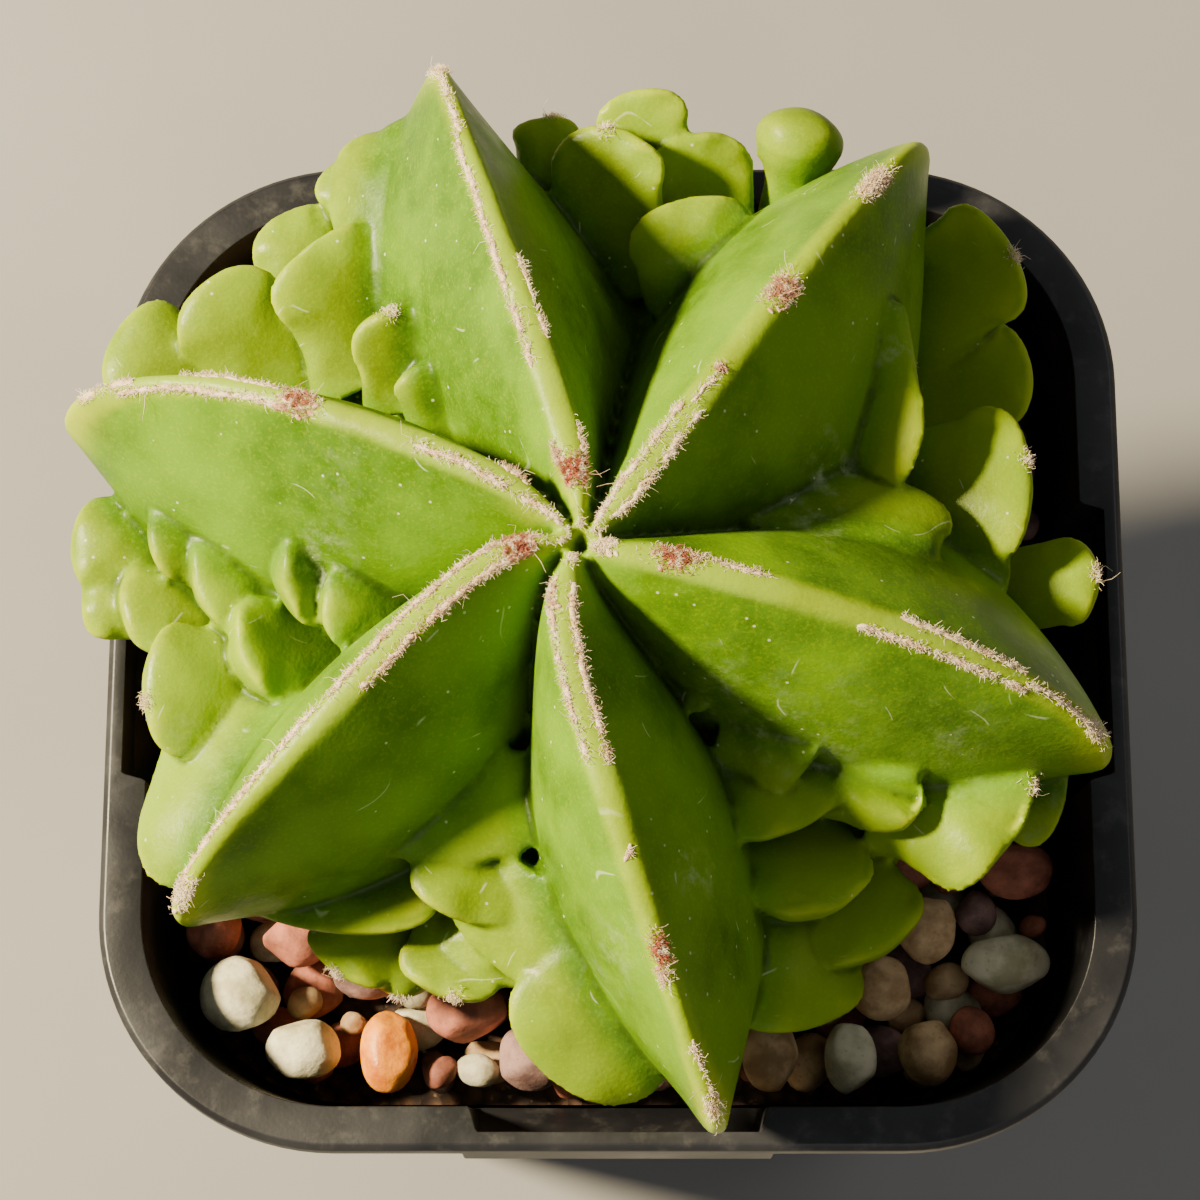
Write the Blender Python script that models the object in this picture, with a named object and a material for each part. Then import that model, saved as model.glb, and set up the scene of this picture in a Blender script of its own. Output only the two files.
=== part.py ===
"""Potted bishops cap cactus: a six-ribbed plant with lobed furrows, in a square nursery pot.

The origin is the centre of the pot's flat base, +Z is up, and -Y is the side that the
viewer leans over. Sizes below are millimetres and degrees. Shapes are made in millimetres
and turned to metres once, when each mesh is finished.
"""

import math
import random

import bmesh
import bpy
from mathutils import Matrix, Vector
from mathutils.bvhtree import BVHTree

MM = 0.001
CLEAR = 0.3
HOLE_CLEAR = 0.8

# Pot
POT_HEIGHT = 76.0
POT_RIM_HALF = 42.5
POT_WALL = 1.3
POT_BASE_HALF = 30.5
POT_TOP_HALF = 40.3
POT_BASE_CORNER = 11.0
POT_TOP_CORNER = 17.5
POT_RIM_CORNER = 19.5
POT_FLANGE_THICK = 2.2
POT_FLOOR = 1.6
FLOOR_SLOPE = 1.0
POT_FOOT = 1.4
POCKET_HALF_WIDTH = 12.6
POCKET_STEP = 0.8
POCKET_DEPTH = 7.0
POCKET_SLOPE = 4.5
CORNER_STEPS = 6
DRAIN_RADIUS = 3.2
DRAIN_CORNER_PLACE = 17.5
DRAIN_SIDE_PLACE = 21.0
DRAIN_SIDES = 12
GROOVE_WIDTH = 3.0
GROOVE_DEPTH = 0.6

# Potting mix and gravel
MIX_TOP = 62.0
BED_TOP = 65.6
SMALL_STONE_COUNT = 140
SMALL_STONE_TRIES = 12000
SMALL_STONE_PACKING = 0.8
SMALL_STONE_SIZE = (3.0, 1.1)
SMALL_STONE_SPREAD = (0.85, 1.0)
SMALL_STONE_FROM_WALL = 0.3
SMALL_STONE_FROM_PLANT = 3.0
BED_STONE_TOP_NEAR_PLANT = 67.8
BED_STONE_TOP = 69.4
BED_SEED = 5

# Plant
PLANT_X = -3.0
PLANT_Y = 0.0
CROWN = 105.0
WIDEST = 88.0
GRAVEL_LINE = 67.3
NECK_RADIUS = 24.5
ROOT_RADIUS = 7.0
ROOT_END = 48.0
SHOULDER_POWER = 2.2
CROWN_DIP = 1.4
CROWN_DIP_REACH = 3.0
SWIRL_REACH = 9.0
BAND_HALF = 1.3
BAND_DROP = 0.35
VALLEY_FLOOR = 79.0
VALLEY_START_DROP = 1.0
VALLEY_SINK_POWER = 0.5
VALLEY_REACH_POWER = 1.05
CHEEKS = (0.34, 0.64, 0.88)
CHEEK_POWER = (0.85, 0.68)
CHEEK_HOLLOW = (0.42, 1.75)
CHEEK_CHANGE = 1.5
TIP_BEND_POWER = 4.0
UPPER_ROWS = (0.02, 0.05, 0.09, 0.14, 0.2, 0.27, 0.35, 0.43, 0.52, 0.61, 0.7, 0.79, 0.88, 0.95, 1.0)
UNDER_ROWS = (1.16, 1.36, 1.56, 1.78, 2.0)
NECK_ROWS = (2.3, 2.65, 3.0)

# Each rib: azimuth of its crest, reach from the plant's axis, swirl of the crest at the crown
# and bend of its tip.
RIBS = (
    (-14.5, 44.0, 2.0, -3.0),
    (53.5, 48.0, -10.0, 0.0),
    (105.0, 47.0, -20.0, 0.0),
    (152.5, 44.5, -26.0, 8.0),
    (218.0, 41.0, -56.0, 2.0),
    (281.5, 44.0, -46.0, 3.0),
)

# The reach of the fleshy floor of each furrow, from the furrow after the first rib on.
FURROW_WALLS = (28.0, 31.0, 29.0, 26.0, 21.5, 24.5)

# Lobes that fill the furrows: azimuth, reach, height over the rim, half width, half depth,
# half length beyond its middle, and roll of its flat side.
LOBES = (
    # Furrow 1
    (34, 30.0, 10.0, 7.0, 3.0, 3.2, 70),
    (19, 34.5, 8.0, 5.2, 3.4, 5.0, 20),
    (4, 39.5, 4.5, 3.4, 3.0, 3.0, 0),
    (43, 44.5, 6.0, 4.4, 3.6, 3.6, 30),
    (35, 40.0, 4.0, 4.6, 3.6, 3.4, 30),
    (10, 30.0, 10.5, 4.0, 3.2, 3.6, 0),
    (27, 23.0, 13.0, 4.0, 3.0, 3.0, 20),
    # Furrow 2
    (67, 44.5, 5.0, 3.5, 3.4, 3.4, 0),
    (74, 32.0, 9.5, 4.2, 3.2, 3.8, 0),
    (87, 38.0, 9.0, 4.0, 3.2, 3.8, -20),
    (83, 43.0, 3.5, 3.0, 2.8, 2.6, 0),
    (76, 40.0, 6.5, 3.8, 3.0, 3.2, 10),
    (94, 43.5, 5.5, 3.0, 3.0, 2.8, 0),
    # Furrow 3
    (127, 26.2, 12.5, 3.6, 3.0, 3.6, 0),
    (124, 22.0, 14.0, 1.9, 1.8, 2.0, 0),
    (127, 34.0, 9.5, 4.4, 3.4, 4.4, 10),
    (138, 38.0, 7.0, 3.9, 3.2, 3.6, -10),
    (146, 43.0, 5.5, 4.2, 3.4, 3.6, 0),
    (117, 41.0, 6.5, 3.4, 3.2, 3.4, 20),
    (129, 41.0, 2.0, 3.6, 3.0, 3.0, 0),
    # Furrow 4
    (174, 21.7, 13.0, 3.4, 3.0, 3.2, -10),
    (184, 18.5, 13.0, 3.2, 2.6, 3.0, 0),
    (170, 30.2, 9.5, 4.4, 3.4, 4.2, 20),
    (167, 39.0, 6.0, 3.6, 3.2, 3.6, 0),
    (184, 26.7, 10.0, 2.8, 2.6, 2.8, 0),
    (191, 31.0, 7.5, 4.4, 3.4, 4.2, -15),
    (178, 36.5, 5.0, 3.2, 2.8, 3.0, 0),
    (201, 34.5, 5.5, 4.0, 3.0, 3.6, 0),
    # Furrow 5
    (240, 18.6, 12.0, 4.0, 3.0, 3.6, 0),
    (231, 27.6, 4.5, 7.0, 3.2, 4.2, 10),
    (249, 23.8, 8.5, 4.0, 3.0, 3.8, -20),
    (264, 25.6, 8.0, 4.4, 3.2, 4.0, -30),
    (245, 28.0, 1.0, 3.4, 2.8, 2.8, 0),
    (258, 29.0, 0.5, 2.8, 2.4, 2.6, 0),
    (273, 32.5, 3.0, 4.2, 3.2, 4.0, -30),
    # Furrow 6
    (326, 18.4, 13.5, 3.6, 2.8, 3.2, 20),
    (319, 22.0, 10.0, 4.0, 2.6, 3.4, -10),
    (329, 26.3, 9.0, 3.8, 3.0, 3.8, 20),
    (334, 33.0, 7.5, 5.4, 3.4, 4.6, 15),
    (309, 28.2, 7.5, 4.6, 3.2, 4.2, -20),
    (317, 33.0, 3.0, 4.0, 3.2, 3.4, 0),
    (339, 38.0, 4.0, 3.2, 2.8, 2.8, 0),
    (303, 35.0, 2.5, 4.2, 3.4, 3.8, -30),
)
LOBE_AROUND = 8
LOBE_ALONG = 5
LOBE_ROOT_TAPER = 1.12
LOBE_ROOT_SINK = 2.6
LOBE_LEAN = 0.5
LOBE_CURL = 0.5

# The low skirt of small lobes, set by a seeded rule round each furrow.
SKIRT_PER_FURROW = 2
SKIRT_SPREAD = 0.62
SKIRT_HEIGHT = -2.6
SKIRT_OUT = 4.0
SKIRT_SIZE = (2.6, 3.5)
SKIRT_SEED = 12

# How far lobes stay above the pot's rim where they pass over it.
RIM_PASS = 0.8
RIM_PASS_INSIDE = 1.2
RIM_PASS_SLOPE = 2.4
LOBE_ROOT_LIFT = 0.3
LOBE_LIFT_ROUNDS = 3

# Felt on the crests
FELT_INNER = 0.5
FELT_OUTER = 1.15
FELT_THICK = 0.55
FELT_END_INNER = 0.35
FELT_END_OUTER = 1.0
FELT_FIRST_ROW = 1
FELT_LAST_ROW = 13
WOOL_RADIUS = 1.3
WOOL_HEIGHT = 1.0

# Larger loose stones on the bed: wanted x and y, half length, half width, turn and colour.
RIVER_STONES = (
    (-30.5, -32.5, 3.4, 3.3, 0, "cream"),
    (-22.5, -35.0, 3.1, 2.6, 20, "cream"),
    (-15.5, -33.5, 3.6, 2.5, 95, "amber"),
    (-16.0, -27.0, 3.3, 2.9, 10, "terracotta"),
    (-21.0, -29.5, 3.2, 2.8, -20, "mauve"),
    (-27.0, -28.5, 2.9, 2.5, 30, "terracotta"),
    (-31.5, -26.0, 2.9, 2.5, 80, "terracotta"),
    (-9.5, -33.0, 3.0, 2.7, 40, "mauve"),
    (-4.0, -35.0, 2.6, 2.1, 0, "tan"),
    (32.5, -26.0, 3.8, 2.6, 8, "cream"),
    (26.5, -24.0, 3.1, 2.6, 80, "tan"),
    (22.0, -28.5, 2.9, 2.4, 60, "tan"),
    (19.5, -34.0, 3.1, 2.2, 95, "cream"),
    (25.5, -34.0, 3.0, 2.5, 70, "tan"),
    (13.5, -33.5, 3.2, 2.5, 80, "tan"),
    (33.5, -18.0, 3.1, 2.5, 20, "terracotta"),
    (-28.0, 31.0, 3.0, 2.5, 30, "tan"),
    (30.0, 29.0, 3.3, 2.8, -40, "mauve"),
)
RIVER_STONE_FLATNESS = 0.9
RIVER_STONE_SEED = 100
RIVER_STONE_APART = 0.35
RIVER_STONE_FROM_PLANT = 31.5
SETTLE_ROUNDS = 400
STONE_SKEW = 0.07
STONE_TILT = 17.0

COLOURS = {
    "plant_green": ((0.16, 0.36, 0.05), 0.45),
    "areole_felt": ((0.69, 0.57, 0.44), 0.95),
    "black_polypropylene": ((0.012, 0.012, 0.013), 0.5),
    "potting_mix": ((0.045, 0.03, 0.02), 1.0),
    "gravel": ((0.30, 0.20, 0.15), 0.85),
    "cream": ((0.60, 0.55, 0.38), 0.7),
    "terracotta": ((0.36, 0.11, 0.07), 0.8),
    "mauve": ((0.27, 0.16, 0.14), 0.8),
    "amber": ((0.72, 0.30, 0.03), 0.6),
    "tan": ((0.53, 0.37, 0.20), 0.75),
}


def clear_scene():
    """Remove whatever the file holds."""
    for obj in list(bpy.data.objects):
        bpy.data.objects.remove(obj, do_unlink=True)


def material(name):
    """Return the named Principled material, made on first use."""
    found = bpy.data.materials.get(name)
    if found:
        return found
    colour, roughness = COLOURS[name]
    made = bpy.data.materials.new(name)
    made.use_nodes = True
    shader = made.node_tree.nodes["Principled BSDF"]
    shader.inputs["Base Color"].default_value = (*colour, 1.0)
    shader.inputs["Roughness"].default_value = roughness
    shader.inputs["Metallic"].default_value = 0.0
    made.diffuse_color = (*colour, 1.0)
    return made


def link_mesh(name, bm, colour=None):
    """Turn a bmesh into a linked object, with its faces pointing out."""
    bmesh.ops.recalc_face_normals(bm, faces=bm.faces)
    mesh = bpy.data.meshes.new(name)
    bm.to_mesh(mesh)
    bm.free()
    obj = bpy.data.objects.new(name, mesh)
    bpy.context.scene.collection.objects.link(obj)
    if colour:
        mesh.materials.append(material(colour))
    return obj


def finish(obj):
    """Shade a finished object and turn its millimetres to metres."""
    obj.data.shade_smooth()
    obj.data.set_sharp_from_angle(angle=math.radians(40.0))
    obj.data.transform(Matrix.Scale(MM, 4))
    return obj


def apply_boolean(obj, tools, operation):
    """Join tools to obj, or cut them from it, in one Boolean, and remove them."""
    group = bpy.data.collections.new(obj.name + "_tools")
    bpy.context.scene.collection.children.link(group)
    for tool in tools:
        bpy.context.scene.collection.objects.unlink(tool)
        group.objects.link(tool)
    change = obj.modifiers.new(operation.lower(), "BOOLEAN")
    change.operation = operation
    change.operand_type = "COLLECTION"
    change.collection = group
    change.solver = "EXACT"
    graph = bpy.context.evaluated_depsgraph_get()
    graph.update()
    result = bpy.data.meshes.new_from_object(obj.evaluated_get(graph))
    obj.modifiers.clear()
    obj.data = result
    for tool in tools:
        bpy.data.objects.remove(tool, do_unlink=True)
    bpy.data.collections.remove(group)
    drop_scraps(obj)


def drop_scraps(obj):
    """Keep only the largest connected body of a mesh."""
    bm = bmesh.new()
    bm.from_mesh(obj.data)
    bmesh.ops.remove_doubles(bm, verts=bm.verts, dist=0.0005)
    unseen = set(bm.verts)
    islands = []
    while unseen:
        seed = unseen.pop()
        island, edge_of_search = {seed}, [seed]
        while edge_of_search:
            for edge in edge_of_search.pop().link_edges:
                for vert in edge.verts:
                    if vert in unseen:
                        unseen.discard(vert)
                        island.add(vert)
                        edge_of_search.append(vert)
        islands.append(island)
    islands.sort(key=len, reverse=True)
    scraps = [vert for island in islands[1:] for vert in island]
    bmesh.ops.delete(bm, geom=scraps, context="VERTS")
    bm.to_mesh(obj.data)
    bm.free()


def skin_rings(bm, rings, closed=False):
    """Bridge a list of equal rings with quads, cap both ends, or close the loop of rings."""
    loops = [[bm.verts.new(point) for point in ring] for ring in rings]
    pairs = list(zip(loops, loops[1:]))
    if closed:
        pairs.append((loops[-1], loops[0]))
    for lower, upper in pairs:
        count = len(lower)
        for i in range(count):
            j = (i + 1) % count
            bm.faces.new((lower[i], lower[j], upper[j], upper[i]))
    if not closed:
        for loop in (loops[0], loops[-1]):
            middle = sum((vert.co for vert in loop), Vector()) / len(loop)
            hub = bm.verts.new(middle)
            for i, vert in enumerate(loop):
                bm.faces.new((vert, loop[(i + 1) % len(loop)], hub))
    return loops


def mix(a, b, share):
    """Return the value at a share of the way from a to b."""
    return a + (b - a) * share


def square_ring(half, corner, z, bulge=0.0, inset=0.0):
    """Return a rounded square, with each side's middle set out by bulge."""
    pocket = POCKET_HALF_WIDTH - inset
    side = (
        (-pocket - POCKET_STEP, 0.0),
        (-pocket, bulge),
        (0.0, bulge),
        (pocket, bulge),
        (pocket + POCKET_STEP, 0.0),
    )
    points = []
    for turn in range(4):
        spin = Matrix.Rotation(math.radians(90.0 * turn), 3, "Z")
        for along, out in side:
            points.append(spin @ Vector((half + out, along, z)))
        for step in range(CORNER_STEPS + 1):
            angle = math.radians(90.0 * step / CORNER_STEPS)
            x = half - corner + corner * math.cos(angle)
            y = half - corner + corner * math.sin(angle)
            points.append(spin @ Vector((x, y, z)))
    return points


def pot_wall_half(z):
    """Half the outer width of the pot's tapering wall at a height."""
    return mix(POT_BASE_HALF, POT_TOP_HALF, z / POT_HEIGHT)


def pot_wall_corner(z):
    """Radius of the wall's outer corner at a height."""
    return mix(POT_BASE_CORNER, POT_TOP_CORNER, z / POT_HEIGHT)


def pocket_bulge(z, limit):
    """How far the wall's middle stands out at a height, up to a limit line."""
    start = POT_HEIGHT - POCKET_DEPTH - POCKET_SLOPE
    share = min(1.0, max(0.0, (z - start) / POCKET_SLOPE))
    return share * (limit - pot_wall_half(z))


def outer_ring(z):
    """Ring of the wall's outer face."""
    return square_ring(pot_wall_half(z), pot_wall_corner(z), z, pocket_bulge(z, POT_RIM_HALF - 0.2))


def inner_ring(z, gap=0.0):
    """Ring of the wall's inner face, or of a fill that stays a gap clear of it."""
    inset = POT_WALL + gap
    bulge = pocket_bulge(z, POT_RIM_HALF - 0.2) if gap == 0.0 else 0.0
    return square_ring(pot_wall_half(z) - inset, pot_wall_corner(z) - inset, z, bulge, inset)


def build_pot():
    """One moulded pot: base, tapering wall with side pockets, turned rim and drain holes."""
    pocket_foot = POT_HEIGHT - POCKET_DEPTH - POCKET_SLOPE
    pocket_full = POT_HEIGHT - POCKET_DEPTH
    under_rim = POT_HEIGHT - POT_FLANGE_THICK
    rings = [
        square_ring(POT_BASE_HALF - 1.2, POT_BASE_CORNER - 1.2, 0.0),
        outer_ring(POT_FOOT),
        outer_ring(pocket_foot),
        outer_ring(pocket_full),
        outer_ring(under_rim - 0.4),
        square_ring(POT_RIM_HALF, POT_RIM_CORNER, under_rim),
        square_ring(POT_RIM_HALF, POT_RIM_CORNER, POT_HEIGHT - 0.5),
        square_ring(POT_RIM_HALF - 0.5, POT_RIM_CORNER - 0.5, POT_HEIGHT),
    ]
    lip = [inner_ring(POT_HEIGHT - 0.4), inner_ring(pocket_full), inner_ring(pocket_foot)]
    top_edge = [point + Vector((0.0, 0.0, 0.4)) for point in lip[0]]
    rings += [top_edge] + lip + [inner_ring(POT_FLOOR + FLOOR_SLOPE), floor_ring(POT_FLOOR)]
    bm = bmesh.new()
    skin_rings(bm, rings)
    pot = link_mesh("pot", bm, "black_polypropylene")
    apply_boolean(pot, drain_cutters(), "DIFFERENCE")
    apply_boolean(pot, groove_cutters(), "DIFFERENCE")
    return finish(pot)


def as_cutters(tools):
    """Mark cutters so that they stay out of the model."""
    for tool in tools:
        tool.hide_render = True
        tool.display_type = "WIRE"
    return tools


def drain_cutters():
    """Cutters for the round drain holes in the base."""
    places = []
    for turn in range(4):
        spin = Matrix.Rotation(math.radians(90.0 * turn), 3, "Z")
        places.append(spin @ Vector((DRAIN_CORNER_PLACE, DRAIN_CORNER_PLACE, 0.0)))
        places.append(spin @ Vector((DRAIN_SIDE_PLACE, 0.0, 0.0)))
    tools = []
    for i, place in enumerate(places):
        bm = bmesh.new()
        bmesh.ops.create_cone(
            bm, cap_ends=True, segments=DRAIN_SIDES, radius1=DRAIN_RADIUS, radius2=DRAIN_RADIUS,
            depth=8.0, matrix=Matrix.Translation(place),
        )
        tools.append(link_mesh(f"drain_cutter_{i}", bm))
    return as_cutters(tools)


def groove_cutters():
    """Cutters for the grooves that let water out under the base."""
    tools = []
    for turn in range(4):
        spin = Matrix.Rotation(math.radians(90.0 * turn), 4, "Z")
        reach = POT_BASE_HALF + 4.0 - DRAIN_SIDE_PLACE
        place = Matrix.Translation((DRAIN_SIDE_PLACE + reach / 2.0, 0.0, 0.0))
        size = Matrix.Diagonal((reach, GROOVE_WIDTH, 2.0 * GROOVE_DEPTH, 1.0))
        bm = bmesh.new()
        bmesh.ops.create_cube(bm, size=1.0, matrix=spin @ place @ size)
        tools.append(link_mesh(f"groove_cutter_{turn}", bm))
    return as_cutters(tools)


def neck_radius(z):
    """Radius of the plant's root neck, from the gravel line down to the root's end."""
    share = min(1.0, max(0.0, (GRAVEL_LINE - z) / (GRAVEL_LINE - ROOT_END)))
    return mix(NECK_RADIUS, ROOT_RADIUS, share ** 0.85)


def round_ring(radius, z, template):
    """Circle about the plant's axis, with a point in the direction of each template point."""
    points = []
    for point in template:
        angle = math.atan2(point.y - PLANT_Y, point.x - PLANT_X)
        points.append(Vector((PLANT_X + radius * math.cos(angle), PLANT_Y + radius * math.sin(angle), z)))
    return points


def blend_rings(outer, inner, share, z):
    """Ring a share of the way from one ring to another, at one height."""
    return [Vector((mix(a.x, b.x, share), mix(a.y, b.y, share), z)) for a, b in zip(outer, inner)]


def floor_ring(z, gap=0.0):
    """Ring at the foot of the pot's inside, where a small slope meets the wall."""
    half = pot_wall_half(POT_FLOOR) - POT_WALL - FLOOR_SLOPE - 2.0 * gap
    return square_ring(half, POT_BASE_CORNER - 2.0 * FLOOR_SLOPE, z)


def build_mix():
    """Potting mix: fills the pot and holds the root in a blind tapering hole."""
    bottom = POT_FLOOR + CLEAR
    sides = [floor_ring(bottom, CLEAR), inner_ring(bottom + FLOOR_SLOPE, CLEAR),
             inner_ring(mix(bottom, MIX_TOP, 0.5), CLEAR), inner_ring(MIX_TOP, CLEAR)]
    template = sides[-1]
    hole_top = round_ring(neck_radius(MIX_TOP) + HOLE_CLEAR, MIX_TOP, template)
    rings = sides + [blend_rings(template, hole_top, 0.5, MIX_TOP), hole_top]
    for share in (0.5, 1.0):
        z = mix(MIX_TOP, ROOT_END - HOLE_CLEAR, share)
        rings.append(round_ring(neck_radius(z) + HOLE_CLEAR, z, template))
    bm = bmesh.new()
    skin_rings(bm, rings)
    return finish(link_mesh("potting_soil", bm, "potting_mix"))


def stone(name, place, size, turn, draw, subdivisions=1):
    """One stone: a ball pressed out of round, then flattened and turned."""
    bm = bmesh.new()
    bmesh.ops.create_icosphere(bm, subdivisions=subdivisions, radius=1.0)
    skew = [Vector((draw.uniform(-1, 1), draw.uniform(-1, 1), draw.uniform(-1, 1))) for _ in range(3)]
    for vert in bm.verts:
        push = sum(STONE_SKEW * vert.co.dot(axis.normalized()) ** 2 for axis in skew)
        vert.co *= 1.0 - push
    reach = [max(abs(vert.co[axis]) for vert in bm.verts) for axis in range(3)]
    bmesh.ops.scale(bm, verts=bm.verts, vec=[wanted / found for wanted, found in zip(size, reach)])
    tilt = draw.uniform(-STONE_TILT, STONE_TILT)
    spin = Matrix.Rotation(math.radians(turn), 4, "Z") @ Matrix.Rotation(math.radians(tilt), 4, "X")
    bmesh.ops.transform(bm, verts=bm.verts, matrix=Matrix.Translation(place) @ spin)
    return link_mesh(name, bm)


def keep_inside(place, z, margin):
    """Return the nearest place that lies inside the pot's wall by a margin."""
    half = pot_wall_half(z)
    corner = pot_wall_corner(z)
    limit = half - POT_WALL - margin
    x = max(-limit, min(limit, place.x))
    y = max(-limit, min(limit, place.y))
    middle = Vector((math.copysign(half - corner, x), math.copysign(half - corner, y)))
    from_middle = Vector((x, y)) - middle
    round_limit = corner - POT_WALL - margin
    in_corner = abs(x) > half - corner and abs(y) > half - corner
    if in_corner and from_middle.length > round_limit:
        return middle + from_middle.normalized() * round_limit
    return Vector((x, y))


def off_stone(x, y, radius, row):
    """Whether a round stone at an offset from a river stone is clear of its oval."""
    long, wide, turn = row[2:5]
    offset = Matrix.Rotation(math.radians(-turn), 2) @ Vector((x, y))
    margin = radius + CLEAR
    return math.hypot(offset.x / (long + margin), offset.y / (wide + margin)) > 1.0


def scatter_small_stones(draw):
    """Places and sizes of the bed's small stones: big ones first, then smaller in the gaps."""
    river = list(zip(settle_river_stones(), RIVER_STONES))
    placed = []
    for attempt in range(SMALL_STONE_TRIES):
        x, y = draw.uniform(-POT_TOP_HALF, POT_TOP_HALF), draw.uniform(-POT_TOP_HALF, POT_TOP_HALF)
        radius = mix(*SMALL_STONE_SIZE, attempt / SMALL_STONE_TRIES) * draw.uniform(*SMALL_STONE_SPREAD)
        from_plant = math.hypot(x - PLANT_X, y - PLANT_Y)
        kept = keep_inside(Vector((x, y)), MIX_TOP, radius + SMALL_STONE_FROM_WALL)
        clear_of_plant = from_plant > NECK_RADIUS + radius + SMALL_STONE_FROM_PLANT
        inside = (kept - Vector((x, y))).length < 0.0001
        clear_of_river = all(off_stone(x - place.x, y - place.y, radius, row) for place, row in river)
        apart = all(math.hypot(x - a, y - b) > SMALL_STONE_PACKING * (radius + size)
                    for a, b, size in placed)
        if clear_of_plant and inside and clear_of_river and apart:
            placed.append((x, y, radius))
        if len(placed) == SMALL_STONE_COUNT:
            break
    return placed


def build_bed():
    """Gravel bed: small stones fused on a thin slab, which the river stones lie on."""
    bm = bmesh.new()
    skin_rings(bm, bed_rings(), closed=True)
    bed = link_mesh("gravel_bed", bm, "gravel")
    draw = random.Random(BED_SEED)
    stones = []
    for i, (x, y, radius) in enumerate(scatter_small_stones(draw)):
        near = math.hypot(x - PLANT_X, y - PLANT_Y) < NECK_RADIUS + 7.0
        top = BED_STONE_TOP_NEAR_PLANT if near else draw.uniform(BED_STONE_TOP - 1.2, BED_STONE_TOP)
        size = (radius, radius * draw.uniform(0.75, 1.0), radius * draw.uniform(0.7, 0.85))
        place = (x, y, top - size[2])
        stones.append(stone(f"small_stone_{i}", place, size, draw.uniform(0, 180), draw))
    apply_boolean(bed, stones, "UNION")
    return finish(bed)


def bed_rings():
    """Rings of the bed's slab: it fills the pot from the mix up, round an open middle."""
    bottom, top = MIX_TOP + CLEAR, BED_TOP
    outer = [inner_ring(bottom, CLEAR), inner_ring(top, CLEAR)]
    template = outer[-1]
    hole_top = round_ring(neck_radius(top) + HOLE_CLEAR, top, template)
    hole_bottom = round_ring(neck_radius(bottom) + HOLE_CLEAR, bottom, template)
    under = blend_rings(outer[0], hole_bottom, 0.5, bottom)
    over = blend_rings(outer[1], hole_top, 0.5, top)
    return [outer[0], outer[1], over, hole_top, hole_bottom, under]


def settle_river_stones():
    """Places of the larger stones, nudged until they clear each other, the wall and the plant."""
    places = [Vector((row[0], row[1])) for row in RIVER_STONES]
    sizes = [max(row[2], row[3]) for row in RIVER_STONES]
    plant = Vector((PLANT_X, PLANT_Y))
    for _ in range(SETTLE_ROUNDS):
        for i, place in enumerate(places):
            for j in range(i):
                away = place - places[j]
                short = sizes[i] + sizes[j] + RIVER_STONE_APART - away.length
                if short > 0.0:
                    place += away.normalized() * short * 0.5
                    places[j] -= away.normalized() * short * 0.5
            from_plant = place - plant
            if from_plant.length < RIVER_STONE_FROM_PLANT:
                place += from_plant.normalized() * (RIVER_STONE_FROM_PLANT - from_plant.length)
            place.xy = keep_inside(place, MIX_TOP, sizes[i] + RIVER_STONE_APART)
    return places


def build_river_stones():
    """The larger loose stones, each lying on the bed."""
    for i, (place, row) in enumerate(zip(settle_river_stones(), RIVER_STONES), start=1):
        long, wide, turn, colour = row[2:]
        high = wide * RIVER_STONE_FLATNESS
        draw = random.Random(RIVER_STONE_SEED + i)
        body = stone(f"river_stone_{i:02d}", (place.x, place.y, BED_TOP), (long, wide, high), turn, draw, 2)
        lowest = min(vert.co.z for vert in body.data.vertices)
        body.data.transform(Matrix.Translation((0.0, 0.0, BED_TOP + CLEAR - lowest)))
        body.data.materials.append(material(colour))
        finish(body)


def crest_swirl(rib, reach):
    """Azimuth of a rib's crest, in degrees, at a reach from the axis."""
    azimuth, full, swirl, bend = RIBS[rib]
    return azimuth + swirl * math.exp(-reach / SWIRL_REACH) + bend * (reach / full) ** TIP_BEND_POWER


def crest_place(rib, s):
    """Reach and height of a rib's crest: s runs 0 crown, 1 widest, 2 gravel line, 3 root end."""
    full = RIBS[rib][1]
    if s <= 1.0:
        angle = s * math.pi / 2.0
        reach = full * math.sin(angle) ** (2.0 / SHOULDER_POWER)
        height = mix(WIDEST, CROWN, max(0.0, math.cos(angle)) ** (2.0 / SHOULDER_POWER))
        return reach, height - CROWN_DIP * math.exp(-reach / CROWN_DIP_REACH)
    if s <= 2.0:
        angle = (s - 1.0) * math.pi / 2.0
        return mix(NECK_RADIUS, full, math.cos(angle)), mix(WIDEST, GRAVEL_LINE, s - 1.0)
    height = mix(GRAVEL_LINE, ROOT_END, s - 2.0)
    return neck_radius(height), height


def valley_place(furrow, s):
    """Reach and height of a furrow's floor at the same stations as the crests."""
    wall = FURROW_WALLS[furrow]
    if s <= 1.0:
        drop = (CROWN - VALLEY_START_DROP - VALLEY_FLOOR) * s ** VALLEY_SINK_POWER
        return wall * s ** VALLEY_REACH_POWER, CROWN - VALLEY_START_DROP - drop
    if s <= 2.0:
        angle = (s - 1.0) * math.pi / 2.0
        return mix(NECK_RADIUS - 2.0, wall, math.cos(angle)), mix(VALLEY_FLOOR, GRAVEL_LINE, s - 1.0)
    height = mix(GRAVEL_LINE, ROOT_END, s - 2.0)
    return neck_radius(height) - 2.0 * (3.0 - s), height


def cheek_share(t, s):
    """How much of the crest a cheek point keeps, from 1 at the crest to 0 in the furrow."""
    share = min(1.0, s) ** CHEEK_CHANGE
    return (1.0 - t ** mix(*CHEEK_POWER, share)) ** mix(*CHEEK_HOLLOW, share)


def on_plant(reach, azimuth, height):
    """Point of the plant by reach, azimuth in degrees and height."""
    angle = math.radians(azimuth)
    return Vector((PLANT_X + reach * math.cos(angle), PLANT_Y + reach * math.sin(angle), height))


def band_half(reach):
    """Half width of the pale band along a crest, slimmer at the crown."""
    return min(BAND_HALF, 0.3 * reach)


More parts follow.
